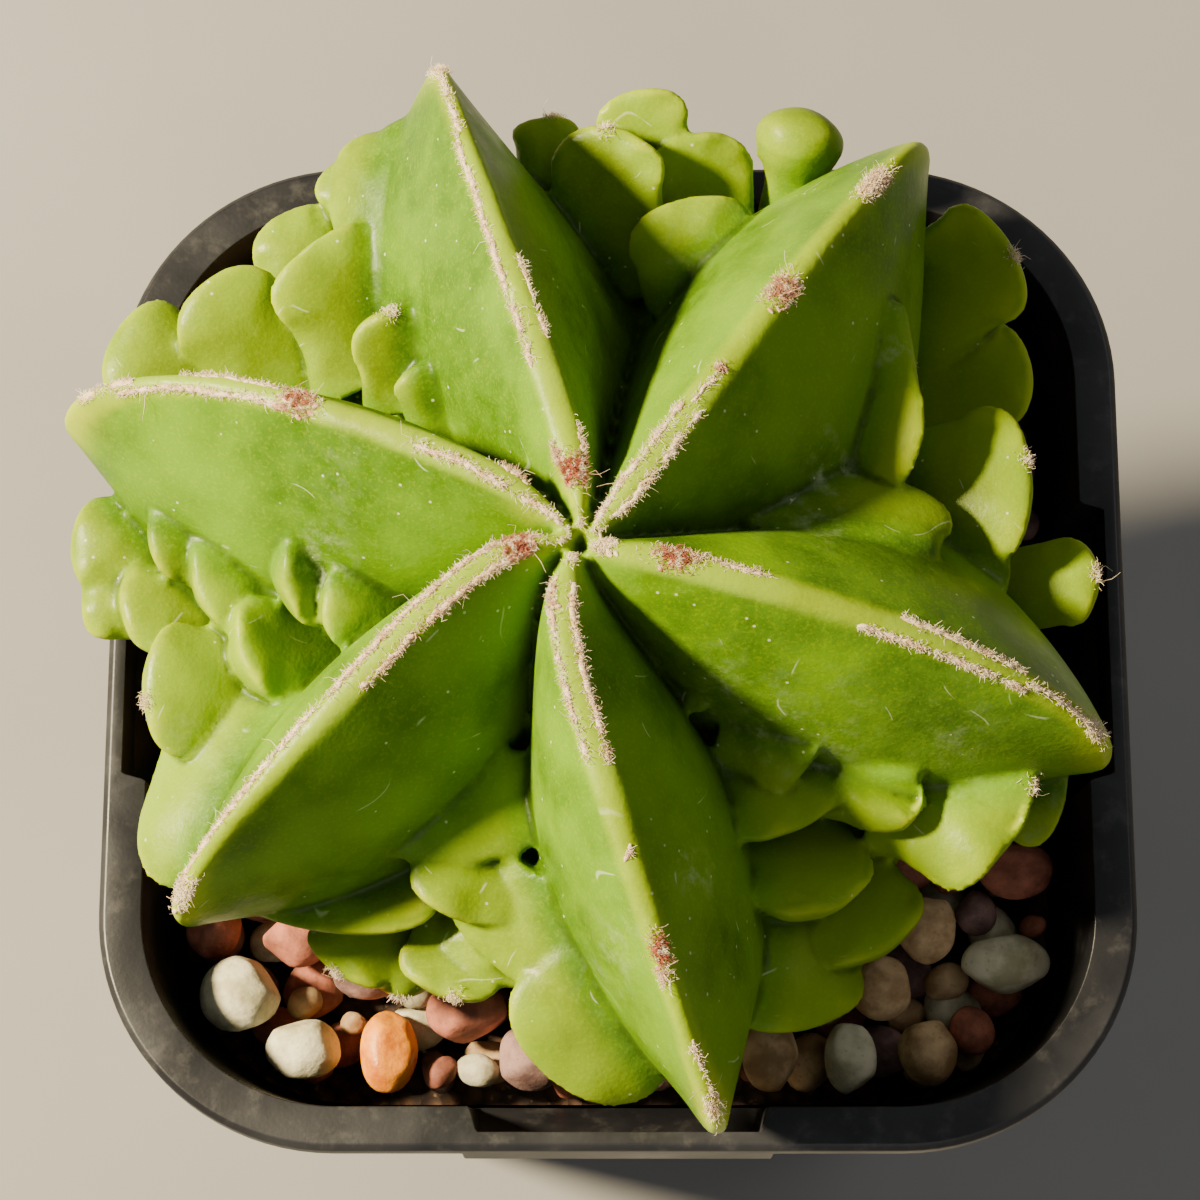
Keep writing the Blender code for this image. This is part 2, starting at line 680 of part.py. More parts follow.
def body_section(s):
    """One closed ring of the plant's body, round all ribs and furrows."""
    points = []
    count = len(RIBS)
    for rib in range(count):
        reach, height = crest_place(rib, s)
        azimuth = crest_swirl(rib, reach)
        half = band_half(reach)
        step = math.degrees(half / reach)
        drop = BAND_DROP * half / BAND_HALF
        nxt = (rib + 1) % count
        next_reach, next_height = crest_place(nxt, s)
        gap = (crest_swirl(nxt, next_reach) - azimuth) % 360.0
        valley_reach, valley_height = valley_place(rib, s)
        next_half = band_half(next_reach)
        next_step = math.degrees(next_half / next_reach)
        points.append(on_plant(reach, azimuth, height))
        points.append(on_plant(reach - drop * 0.3, azimuth + step, height - drop))
        for t in CHEEKS:
            share = cheek_share(t, s)
            turn = mix(step, gap / 2.0, t)
            points.append(on_plant(mix(valley_reach, reach, share), azimuth + turn,
                                   mix(valley_height, height, share)))
        points.append(on_plant(valley_reach, azimuth + gap / 2.0, valley_height))
        for t in reversed(CHEEKS):
            share = cheek_share(t, s)
            turn = mix(next_step, gap / 2.0, t)
            points.append(on_plant(mix(valley_reach, next_reach, share), azimuth + gap - turn,
                                   mix(valley_height, next_height, share)))
        next_drop = BAND_DROP * next_half / BAND_HALF
        points.append(on_plant(next_reach - next_drop * 0.3, azimuth + gap - next_step,
                               next_height - next_drop))
    return points


def lobe(name, tree, azimuth, reach, height, half_width, half_depth, half_length, roll):
    """One fleshy lobe: a rounded flap that grows from the body's surface, clear of the rim."""
    middle = on_plant(reach, azimuth, POT_HEIGHT + height)
    foot, normal, _, gap = tree.find_nearest(middle)
    radial = Vector((middle.x - PLANT_X, middle.y - PLANT_Y, 0.0)).normalized()
    outward = (normal + LOBE_LEAN * radial).normalized()
    buried = (middle - foot).dot(normal) < 0.0
    root_length = LOBE_ROOT_SINK + (0.0 if buried else gap)
    side = outward.cross(Vector((0.0, 0.0, 1.0))).normalized()
    up = side.cross(outward).normalized()
    spin = Matrix.Rotation(math.radians(roll), 3, outward)
    side, up = spin @ side, spin @ up
    bm = bmesh.new()
    bmesh.ops.create_uvsphere(bm, u_segments=LOBE_AROUND, v_segments=LOBE_ALONG, radius=1.0)
    lifts = []
    for vert in bm.verts:
        across, over, along = vert.co
        if along < 0.0:
            ring = math.hypot(across, over)
            grow = mix(1.0, LOBE_ROOT_TAPER, -along) / ring if ring > 0.2 else 1.0
            across, over = across * grow, over * grow
            stretch = root_length
        else:
            stretch = half_length
        place = middle + outward * along * stretch
        place += side * across * half_width + up * (over * half_depth + LOBE_CURL * along * along)
        vert.co = place
        lifts.append(min(1.0, 1.0 + along * (1.0 - LOBE_ROOT_LIFT)))
    for _ in range(LOBE_LIFT_ROUNDS):
        short = max(rim_clear_height(vert.co) - vert.co.z for vert in bm.verts)
        for vert, share in zip(bm.verts, lifts):
            vert.co.z += max(0.0, short) * share
    return link_mesh(name, bm)


def rim_clear_height(point):
    """Lowest height at which a point clears the pot's inner wall and rim."""
    half = pot_wall_half(POT_HEIGHT) - POT_WALL
    corner = pot_wall_corner(POT_HEIGHT) - POT_WALL
    over_x, over_y = abs(point.x) - (half - corner), abs(point.y) - (half - corner)
    if over_x > 0.0 and over_y > 0.0:
        past = math.hypot(over_x, over_y) - corner
    else:
        past = max(abs(point.x), abs(point.y)) - half
    return POT_HEIGHT + RIM_PASS + RIM_PASS_SLOPE * min(0.0, past + RIM_PASS_INSIDE)


def skirt_lobes():
    """Rule for the low ring of small lobes under the hand-placed ones."""
    draw = random.Random(SKIRT_SEED)
    rows = []
    for furrow, wall in enumerate(FURROW_WALLS):
        start = RIBS[furrow][0]
        gap = (RIBS[(furrow + 1) % len(RIBS)][0] - start) % 360.0
        for i in range(SKIRT_PER_FURROW):
            share = 0.5 + SKIRT_SPREAD * ((i + 0.5) / SKIRT_PER_FURROW - 0.5)
            size = draw.uniform(*SKIRT_SIZE)
            height = SKIRT_HEIGHT + draw.uniform(-0.6, 1.4)
            rows.append((start + gap * share + draw.uniform(-2, 2), wall + SKIRT_OUT + draw.uniform(-1, 1),
                         height, size * 1.15, size * 0.9, size, draw.uniform(-20, 20)))
    return rows


def build_body():
    """The plant: ribs and root neck as one skin, with every lobe fused to it."""
    bm = bmesh.new()
    stations = UPPER_ROWS + UNDER_ROWS + NECK_ROWS
    skin_rings(bm, [body_section(s) for s in stations])
    body = link_mesh("cactus_body", bm, "plant_green")
    graph = bpy.context.evaluated_depsgraph_get()
    tree = BVHTree.FromObject(body, graph)
    rows = list(LOBES) + skirt_lobes()
    lobes = [lobe(f"lobe_{i}", tree, *row) for i, row in enumerate(rows)]
    apply_boolean(body, lobes, "UNION")
    return finish(body)


def crest_frame(rib, index):
    """Point, path direction, surface normal and sideways direction on a crest, at a row."""
    def at(s):
        reach, height = crest_place(rib, s)
        return on_plant(reach, crest_swirl(rib, reach), height)
    s = UPPER_ROWS[index]
    point = at(s)
    path = (at(UPPER_ROWS[index + 1]) - at(UPPER_ROWS[index - 1])).normalized()
    out = Vector((point.x - PLANT_X, point.y - PLANT_Y, 0.0)).normalized()
    side = Vector((-out.y, out.x, 0.0))
    normal = side.cross(path).normalized()
    if normal.z < 0.0:
        normal = -normal
    return point, path, normal, side


def build_felt(rib):
    """Felt on one crest: two woolly lines that join at both ends, just over the skin."""
    rows = range(FELT_FIRST_ROW, FELT_LAST_ROW + 1)

    def line_ring(index, sign):
        point, _, normal, side = crest_frame(rib, index)
        reach = math.hypot(point.x - PLANT_X, point.y - PLANT_Y)
        shrink = band_half(reach) / BAND_HALF
        ring = []
        for offset, lift in ((FELT_INNER, 0.0), (FELT_OUTER, 0.0), (FELT_OUTER, FELT_THICK),
                             (FELT_INNER, FELT_THICK)):
            across = offset * shrink
            drop = BAND_DROP * across / BAND_HALF
            ring.append(point + side * sign * across + normal * (CLEAR + lift - drop))
        return ring

    def end_ring(index, sign):
        point, path, normal, _ = crest_frame(rib, index)
        ring = []
        for along, lift in ((FELT_END_INNER, 0.0), (FELT_END_OUTER, 0.0), (FELT_END_OUTER, FELT_THICK),
                            (FELT_END_INNER, FELT_THICK)):
            ring.append(point + path * sign * along + normal * (CLEAR + lift))
        return ring

    rings = [line_ring(i, 1.0) for i in rows]
    rings.append(end_ring(FELT_LAST_ROW, 1.0))
    rings += [line_ring(i, -1.0) for i in reversed(rows)]
    rings.append(end_ring(FELT_FIRST_ROW, -1.0))
    bm = bmesh.new()
    skin_rings(bm, rings, closed=True)
    return finish(link_mesh(f"rib_felt_{rib + 1}", bm, "areole_felt"))


def build_wool():
    """Tuft of wool over the crown."""
    bm = bmesh.new()
    bmesh.ops.create_uvsphere(bm, u_segments=10, v_segments=6, radius=1.0)
    foot = CROWN - CROWN_DIP + 2.0 * CLEAR
    for vert in bm.verts:
        x, y, z = vert.co
        vert.co = Vector((PLANT_X + x * WOOL_RADIUS, PLANT_Y + y * WOOL_RADIUS,
                          foot + WOOL_HEIGHT * (z + 1.0) / 2.0))
    return finish(link_mesh("crown_wool", bm, "areole_felt"))


def main():
    """Build every piece of the potted plant."""
    clear_scene()
    build_pot()
    build_mix()
    build_bed()
    build_river_stones()
    build_body()
    for rib in range(len(RIBS)):
        build_felt(rib)
    build_wool()


main()
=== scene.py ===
"""Looks of a potted bishops cap cactus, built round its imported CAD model.

Lengths are millimetres and angles degrees, unless a name says otherwise, and each finished
mesh is turned to metres once. The origin is the middle of the pot's base, +Z is up, and -Y
is the side that the viewer leans over.
"""

import logging
import math
import random
from collections.abc import Iterable
from dataclasses import dataclass, field
from enum import Enum

import bmesh
import bpy
import numpy as np
from mathutils import Matrix, Vector, noise
from mathutils.bvhtree import BVHTree
from mathutils.kdtree import KDTree


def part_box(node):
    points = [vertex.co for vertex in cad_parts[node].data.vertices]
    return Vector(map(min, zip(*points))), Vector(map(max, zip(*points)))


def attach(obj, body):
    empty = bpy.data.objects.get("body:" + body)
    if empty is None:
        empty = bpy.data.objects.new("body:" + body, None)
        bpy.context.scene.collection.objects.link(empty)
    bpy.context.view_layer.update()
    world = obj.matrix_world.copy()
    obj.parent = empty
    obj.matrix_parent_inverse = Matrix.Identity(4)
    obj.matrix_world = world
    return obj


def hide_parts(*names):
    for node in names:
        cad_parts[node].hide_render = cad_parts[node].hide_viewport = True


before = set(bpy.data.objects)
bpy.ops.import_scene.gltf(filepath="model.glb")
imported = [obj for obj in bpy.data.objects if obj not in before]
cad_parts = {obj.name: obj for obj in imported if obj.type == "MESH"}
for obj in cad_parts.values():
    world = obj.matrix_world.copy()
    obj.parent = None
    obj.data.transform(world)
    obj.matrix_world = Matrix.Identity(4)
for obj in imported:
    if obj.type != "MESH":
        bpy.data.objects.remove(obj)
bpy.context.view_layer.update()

MM = 0.001
log = logging.getLogger("potted_cactus")


# ---- Small shared tools ----


def mix(a: float, b: float, share: float) -> float:
    """Return the value at a share of the way from a to b."""
    return a + (b - a) * share


def smooth(value: float, low: float, high: float) -> float:
    """Return 0 below low, 1 above high, and an even ease between them."""
    share = min(1.0, max(0.0, (value - low) / (high - low)))
    return share * share * (3.0 - 2.0 * share)


def random_vector(draw: random.Random, spread: float) -> Vector:
    """Return a vector whose three parts are drawn from a bell curve."""
    return Vector((draw.gauss(0, spread), draw.gauss(0, spread), draw.gauss(0, spread)))


def object_from(name: str, mesh: bpy.types.Mesh) -> bpy.types.Object:
    """Link a mesh into the scene as an object at the origin."""
    obj = bpy.data.objects.new(name, mesh)
    bpy.context.scene.collection.objects.link(obj)
    return obj


def object_from_bmesh(name: str, bm: bmesh.types.BMesh) -> bpy.types.Object:
    """Turn a bmesh into a linked object with its faces pointing out."""
    bmesh.ops.recalc_face_normals(bm, faces=bm.faces)
    mesh = bpy.data.meshes.new(name)
    bm.to_mesh(mesh)
    bm.free()
    return object_from(name, mesh)


def absorb(bm: bmesh.types.BMesh, part: bmesh.types.BMesh) -> None:
    """Move one bmesh's faces into another, and free the first."""
    shell = bpy.data.meshes.new("part")
    part.to_mesh(shell)
    part.free()
    bm.from_mesh(shell)
    bpy.data.meshes.remove(shell)


def evaluated_mesh(obj: bpy.types.Object) -> bpy.types.Mesh:
    """Return a new mesh of what an object's curve or modifiers come to."""
    graph = bpy.context.evaluated_depsgraph_get()
    graph.update()
    return bpy.data.meshes.new_from_object(obj.evaluated_get(graph))


def bake_modifiers(obj: bpy.types.Object) -> None:
    """Replace an object's mesh by what its modifiers make of it."""
    result = evaluated_mesh(obj)
    obj.modifiers.clear()
    obj.data = result


def dress(mesh: bpy.types.Mesh, *materials: bpy.types.Material) -> None:
    """Give a mesh these materials and no others."""
    # Clearing also resets which material each face uses, so an empty list is left alone.
    if mesh.materials:
        mesh.materials.clear()
    for material in materials:
        mesh.materials.append(material)


def complete(obj: bpy.types.Object, replaced: Iterable[str] = ()) -> bpy.types.Object:
    """Finish a piece: smooth shading, metres, its body and the nodes it stands for.

    Args:
        obj: The piece, in millimetres.
        replaced: Names of the CAD nodes that the piece replaces.

    Returns:
        The same object.
    """
    obj.data.shade_smooth()
    obj.data.transform(Matrix.Scale(MM, 4))
    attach(obj, "root")
    if replaced:
        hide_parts(*replaced)
    return obj


def surface_of(obj: bpy.types.Object, scale: float = 1.0) -> BVHTree:
    """Return a search tree of an object's mesh, enlarged by a scale."""
    bm = bmesh.new()
    bm.from_mesh(obj.data)
    bmesh.ops.scale(bm, vec=(scale,) * 3, verts=bm.verts)
    tree = BVHTree.FromBMesh(bm)
    bm.free()
    return tree


def set_attribute(mesh: bpy.types.Mesh, name: str, values: np.ndarray) -> None:
    """Store one number for each vertex of a mesh."""
    made = mesh.attributes.new(name, "FLOAT", "POINT")
    made.data.foreach_set("value", np.asarray(values, dtype=np.float32))


def vertex_rows(mesh: bpy.types.Mesh, name: str = "co") -> np.ndarray:
    """Return the places, or the normals, of a mesh's vertices as rows of three numbers."""
    flat = np.zeros(len(mesh.vertices) * 3, dtype=np.float32)
    mesh.vertices.foreach_get(name, flat)
    return flat.reshape(-1, 3)


def spread(mesh: bpy.types.Mesh, values: np.ndarray) -> np.ndarray:
    """Average each vertex's value with those of its neighbours."""
    edges = np.zeros(len(mesh.edges) * 2, dtype=np.int32)
    mesh.edges.foreach_get("vertices", edges)
    first, second = edges[0::2], edges[1::2]
    total, count = values.copy(), np.ones(len(values), dtype=np.float32)
    np.add.at(total, first, values[second])
    np.add.at(total, second, values[first])
    np.add.at(count, first, 1.0)
    np.add.at(count, second, 1.0)
    return total / count


def loft(name: str, rings: list[list[Vector]]) -> bpy.types.Object:
    """Skin a list of equal rings, from one circle that is extruded ring by ring.

    Args:
        name: Name of the object.
        rings: Rings of points, each with the same number of points.

    Returns:
        A closed object.
    """
    bm = bmesh.new()
    loop = bmesh.ops.create_circle(bm, segments=len(rings[0]), radius=1.0)["verts"]
    for vert, point in zip(loop, rings[0]):
        vert.co = point
    edges = bm.edges[:]
    bmesh.ops.holes_fill(bm, edges=edges, sides=0)
    for ring in rings[1:]:
        place = {vert: point for vert, point in zip(loop, ring)}
        grown = bmesh.ops.extrude_edge_only(bm, edges=edges)["geom"]
        fresh = [part for part in grown if isinstance(part, bmesh.types.BMVert)]
        source = {vert: next(edge.other_vert(vert) for edge in vert.link_edges
                             if edge.other_vert(vert) in place) for vert in fresh}
        order = {old: new for new, old in source.items()}
        loop = [order[vert] for vert in loop]
        for vert in fresh:
            vert.co = place[source[vert]]
        edges = [part for part in grown if isinstance(part, bmesh.types.BMEdge)
                 and all(vert in source for vert in part.verts)]
    bmesh.ops.holes_fill(bm, edges=edges, sides=0)
    return object_from_bmesh(name, bm)


# ---- Shader tools ----

# A colour Mix node numbers its sockets for every data type: these are share, first and second.
MIX_INPUTS = (0, 6, 7)
MIX_RESULT = 2


def linear(code: str) -> tuple[float, float, float, float]:
    """Turn an sRGB hex colour, with its hash sign, to linear red, green, blue and alpha."""
    parts = [int(code[i:i + 2], 16) / 255.0 for i in (1, 3, 5)]
    turned = [p / 12.92 if p <= 0.04045 else ((p + 0.055) / 1.055) ** 2.4 for p in parts]
    return turned[0], turned[1], turned[2], 1.0


def pattern(size: float) -> float:
    """Scale of a noise on Object coordinates whose features are about a size in millimetres."""
    return 1.0 / (size * MM)


def set_inputs(node: bpy.types.Node, values: dict) -> None:
    """Set a node's sockets, each by its name or number."""
    for name, value in values.items():
        node.inputs[name].default_value = value


def add(tree: bpy.types.NodeTree, kind: str, values: dict | None = None,
        links: dict | None = None, **settings: object) -> bpy.types.Node:
    """Add one node to a tree, with its settings, socket values and incoming links.

    Args:
        tree: The node tree.
        kind: The node's type name, without its ShaderNode prefix.
        values: Socket values by name or number.
        links: Source sockets by the name or number of the input they feed.
        settings: Properties of the node itself.

    Returns:
        The new node.
    """
    made = tree.nodes.new("ShaderNode" + kind)
    for name, value in settings.items():
        setattr(made, name, value)
    set_inputs(made, values or {})
    for name, source in (links or {}).items():
        tree.links.new(source, made.inputs[name])
    return made


def sort_inputs(inputs: Iterable[tuple[int, object]]) -> tuple[dict, dict]:
    """Split numbered inputs into plain values and the sockets that feed the rest."""
    values, links = {}, {}
    for place, thing in inputs:
        (links if isinstance(thing, bpy.types.NodeSocket) else values)[place] = thing
    return values, links


def blend(tree: bpy.types.NodeTree, share: object, first: object, second: object) -> bpy.types.NodeSocket:
    """Mix two colours by a share, each given as a socket or a value, and return the result."""
    values, links = sort_inputs(zip(MIX_INPUTS, (share, first, second)))
    return add(tree, "Mix", values, links, data_type="RGBA").outputs[MIX_RESULT]


def maths(tree: bpy.types.NodeTree, how: str, *inputs: object, clamp: bool = False) -> bpy.types.NodeSocket:
    """Do one sum on sockets or numbers, and return the result."""
    values, links = sort_inputs(enumerate(inputs))
    return add(tree, "Math", values, links, operation=how, use_clamp=clamp).outputs[0]


def ramp(tree: bpy.types.NodeTree, source: bpy.types.NodeSocket, low: float, high: float,
         start: float = 0.0, end: float = 1.0) -> bpy.types.NodeSocket:
    """Map a socket's value from low..high to start..end, held at both ends, with an ease."""
    values = {"From Min": low, "From Max": high, "To Min": start, "To Max": end}
    return add(tree, "MapRange", values, {"Value": source}, interpolation_type="SMOOTHSTEP").outputs[0]


def cloud(tree: bpy.types.NodeTree, place: bpy.types.NodeSocket, size: float, detail: float,
          roughness: float = 0.5, distortion: float = 0.0) -> bpy.types.NodeSocket:
    """Return a soft noise whose features are about a size in millimetres."""
    values = {"Scale": pattern(size), "Detail": detail, "Roughness": roughness, "Distortion": distortion}
    return add(tree, "TexNoise", values, {"Vector": place}).outputs[0]


def cells(tree: bpy.types.NodeTree, place: bpy.types.NodeSocket, size: float) -> bpy.types.NodeSocket:
    """Return the distance from the nearest of many scattered points, about a size apart."""
    return add(tree, "TexVoronoi", {"Scale": pattern(size)}, {"Vector": place}).outputs["Distance"]


def stored(tree: bpy.types.NodeTree, name: str) -> bpy.types.NodeSocket:
    """Return a number that a mesh stores for each vertex."""
    return add(tree, "Attribute", attribute_name=name).outputs["Fac"]


def feed(tree: bpy.types.NodeTree, shader: bpy.types.Node, **sources: bpy.types.NodeSocket) -> None:
    """Link sockets to a shader's colour and roughness, given by those names."""
    inputs = {"colour": "Base Color", "roughness": "Roughness"}
    for name, source in sources.items():
        tree.links.new(source, shader.inputs[inputs[name]])


def roughen(tree: bpy.types.NodeTree, shader: bpy.types.Node, height: bpy.types.NodeSocket,
            strength: float, depth: float) -> None:
    """Feed a height to a shader as a bump of a depth in millimetres."""
    bump = add(tree, "Bump", {"Strength": strength, "Distance": depth * MM}, {"Height": height})
    tree.links.new(bump.outputs[0], shader.inputs["Normal"])


def new_material(name: str) -> tuple[bpy.types.Material, bpy.types.NodeTree, bpy.types.Node,
                                     bpy.types.NodeSocket]:
    """Return an empty node material, its tree, its Principled shader and its object coordinates."""
    made = bpy.data.materials.new(name)
    made.use_nodes = True
    tree = made.node_tree
    place = add(tree, "TexCoord").outputs["Object"]
    return made, tree, tree.nodes["Principled BSDF"], place


# ---- The plant's form: its CAD solid's, with fuller flanks and one shallower furrow ----


@dataclass(frozen=True)
class Rib:
    """One rib: azimuth and reach of its tip, swirl of its crest at the crown, bend of its tip."""

    azimuth: float
    reach: float
    swirl: float
    bend: float


@dataclass(frozen=True)
class PlantForm:
    """Driving sizes and formulas of the ribs, their cheeks and the furrows between them."""

    x: float = -3.0
    y: float = 0.0
    crown: float = 105.0
    widest: float = 88.0
    gravel_line: float = 67.3
    neck: float = 24.5
    root_radius: float = 7.0
    root_end: float = 48.0
    root_power: float = 0.85
    root_furrow: float = 2.0
    shoulder: float = 2.2
    crown_dip: float = 1.4
    crown_dip_reach: float = 3.0
    swirl_reach: float = 9.0
    band_half: float = 1.25
    band_tip_half: float = 0.6
    band_narrows: tuple[float, float] = (14.0, 40.0)
    band_drop: float = 0.35
    band_most: tuple[float, float] = (0.3, 0.2)
    drop_inwards: float = 0.3
    crest_look: float = 0.3
    furrow_floors: tuple[float, ...] = (85.0, 79.0, 79.0, 79.0, 79.0, 79.0)
    furrow_start: float = 1.0
    furrow_sink: float = 0.5
    furrow_reach: float = 1.05
    cheek_power: tuple[float, float] = (0.85, 0.68)
    cheek_hollow: tuple[float, float] = (0.42, 1.75)
    full_cheek: tuple[float, float] = (1.1, 1.2)
    cheek_change: float = 1.5
    tip_bend: float = 4.0
    ribs: tuple[Rib, ...] = (
        Rib(-14.5, 44.0, 2.0, -3.0),
        Rib(53.5, 48.0, -10.0, 0.0),
        Rib(105.0, 47.0, -20.0, 0.0),
        Rib(152.5, 44.5, -26.0, 8.0),
        Rib(218.0, 41.0, -56.0, 2.0),
        Rib(281.5, 44.0, -46.0, 3.0),
    )
    furrow_walls: tuple[float, ...] = (28.0, 31.0, 29.0, 26.0, 21.5, 24.5)
    # How full the two flanks beside each furrow are, from hollow at 0 to plump at 1.
    flanks: tuple[tuple[float, float], ...] = (
        (0.9, 0.4), (1.0, 0.4), (1.0, 0.2), (0.45, 0.4), (0.35, 0.3), (0.45, 0.25),
    )

    def at(self, reach: float, azimuth: float, height: float) -> Vector:
        """Return a point by reach from the plant's axis, azimuth and height."""
        angle = math.radians(azimuth)
        return Vector((self.x + reach * math.cos(angle), self.y + reach * math.sin(angle), height))

    def neck_radius(self, height: float) -> float:
        """Return the radius of the root neck at a height under the gravel."""
        share = min(1.0, max(0.0, (self.gravel_line - height) / (self.gravel_line - self.root_end)))
        return mix(self.neck, self.root_radius, share ** self.root_power)

    def crest_azimuth(self, rib: int, reach: float) -> float:
        """Return the azimuth of a rib's crest at a reach."""
        row = self.ribs[rib]
        swirl = row.swirl * math.exp(-reach / self.swirl_reach)
        return row.azimuth + swirl + row.bend * (reach / row.reach) ** self.tip_bend

    def crest(self, rib: int, s: float) -> tuple[float, float]:
        """Return a crest's reach and height: s is 0 at the crown, 1 widest, 2 gravel, 3 root end."""
        full = self.ribs[rib].reach
        if s <= 1.0:
            angle = s * math.pi / 2.0
            reach = full * math.sin(angle) ** (2.0 / self.shoulder)
            height = mix(self.widest, self.crown, max(0.0, math.cos(angle)) ** (2.0 / self.shoulder))
            return reach, height - self.crown_dip * math.exp(-reach / self.crown_dip_reach)
        if s <= 2.0:
            angle = (s - 1.0) * math.pi / 2.0
            return mix(self.neck, full, math.cos(angle)), mix(self.widest, self.gravel_line, s - 1.0)
        height = mix(self.gravel_line, self.root_end, s - 2.0)
        return self.neck_radius(height), height

    def furrow(self, index: int, s: float) -> tuple[float, float]:
        """Return a furrow floor's reach and height at the same stations as the crests."""
        wall = self.furrow_walls[index]
        top = self.crown - self.furrow_start
        if s <= 1.0:
            drop = (top - self.furrow_floors[index]) * s ** self.furrow_sink
            return wall * s ** self.furrow_reach, top - drop
        if s <= 2.0:
            angle = (s - 1.0) * math.pi / 2.0
            reach = mix(self.neck - self.root_furrow, wall, math.cos(angle))
            return reach, mix(self.furrow_floors[index], self.gravel_line, s - 1.0)
        height = mix(self.gravel_line, self.root_end, s - 2.0)
        return self.neck_radius(height) - self.root_furrow * (3.0 - s), height

    def skin(self, rib: int, s: float, t: float) -> Vector:
        """Return a point of the skin between one crest (t 0) and the next crest (t 2).

        Args:
            rib: The rib that the span starts from.
            s: Station from the crown down to the root's end.
            t: Place round the span; 1 is the furrow's floor.
        """
        nxt = (rib + 1) % len(self.ribs)
        reach, height = self.crest(rib, s)
        azimuth = self.crest_azimuth(rib, reach)
        next_reach, next_height = self.crest(nxt, s)
        gap = (self.crest_azimuth(nxt, next_reach) - azimuth) % 360.0
        if t > 1.0:
            t, reach, height, towards = 2.0 - t, next_reach, next_height, -1.0
            azimuth += gap
        else:
            towards = 1.0
        fullness = self.flanks[rib][0 if towards > 0.0 else 1]
        power = mix(self.cheek_power[1], self.full_cheek[0], fullness)
        hollow = mix(self.cheek_hollow[1], self.full_cheek[1], fullness)
        half = mix(self.band_half, self.band_tip_half, smooth(reach, *self.band_narrows))
        half = min(half, self.band_most[0] * reach)
        step = min(math.degrees(half / reach), gap * self.band_most[1])
        floor_reach, floor_height = self.furrow(rib, s)
        share = min(1.0, s) ** self.cheek_change
        edge = step / (gap / 2.0)
        if t < edge:
            drop = self.band_drop * half / self.band_half * (t / edge) ** 2
            return self.at(reach - self.drop_inwards * drop, azimuth + towards * t * gap / 2.0,
                           height - drop)
        inner = (t - edge) / (1.0 - edge)
        kept = ((1.0 - inner ** mix(self.cheek_power[0], power, share))
                ** mix(self.cheek_hollow[0], hollow, share))
        drop = self.band_drop * half / self.band_half * kept
        return self.at(mix(floor_reach, reach, kept) - self.drop_inwards * drop,
                       azimuth + towards * t * gap / 2.0, mix(floor_height, height, kept) - drop)

    def crest_path(self, rib: int, reach: float, across: float = 0.0) -> Vector:
        """Return the point on a crest at a reach, and a distance across it."""
        full = self.ribs[rib].reach
        angle = math.asin(min(1.0, reach / full) ** (self.shoulder / 2.0))
        height = self.crest(rib, angle / (math.pi / 2.0))[1]
        azimuth = self.crest_azimuth(rib, reach)
        further = reach + self.crest_look
        ahead = self.at(further, self.crest_azimuth(rib, further), height)
        point = self.at(reach, azimuth, height)
        along = (ahead - point).normalized()
        return point + Vector((-along.y, along.x, 0.0)) * across


# ---- Finishes ----


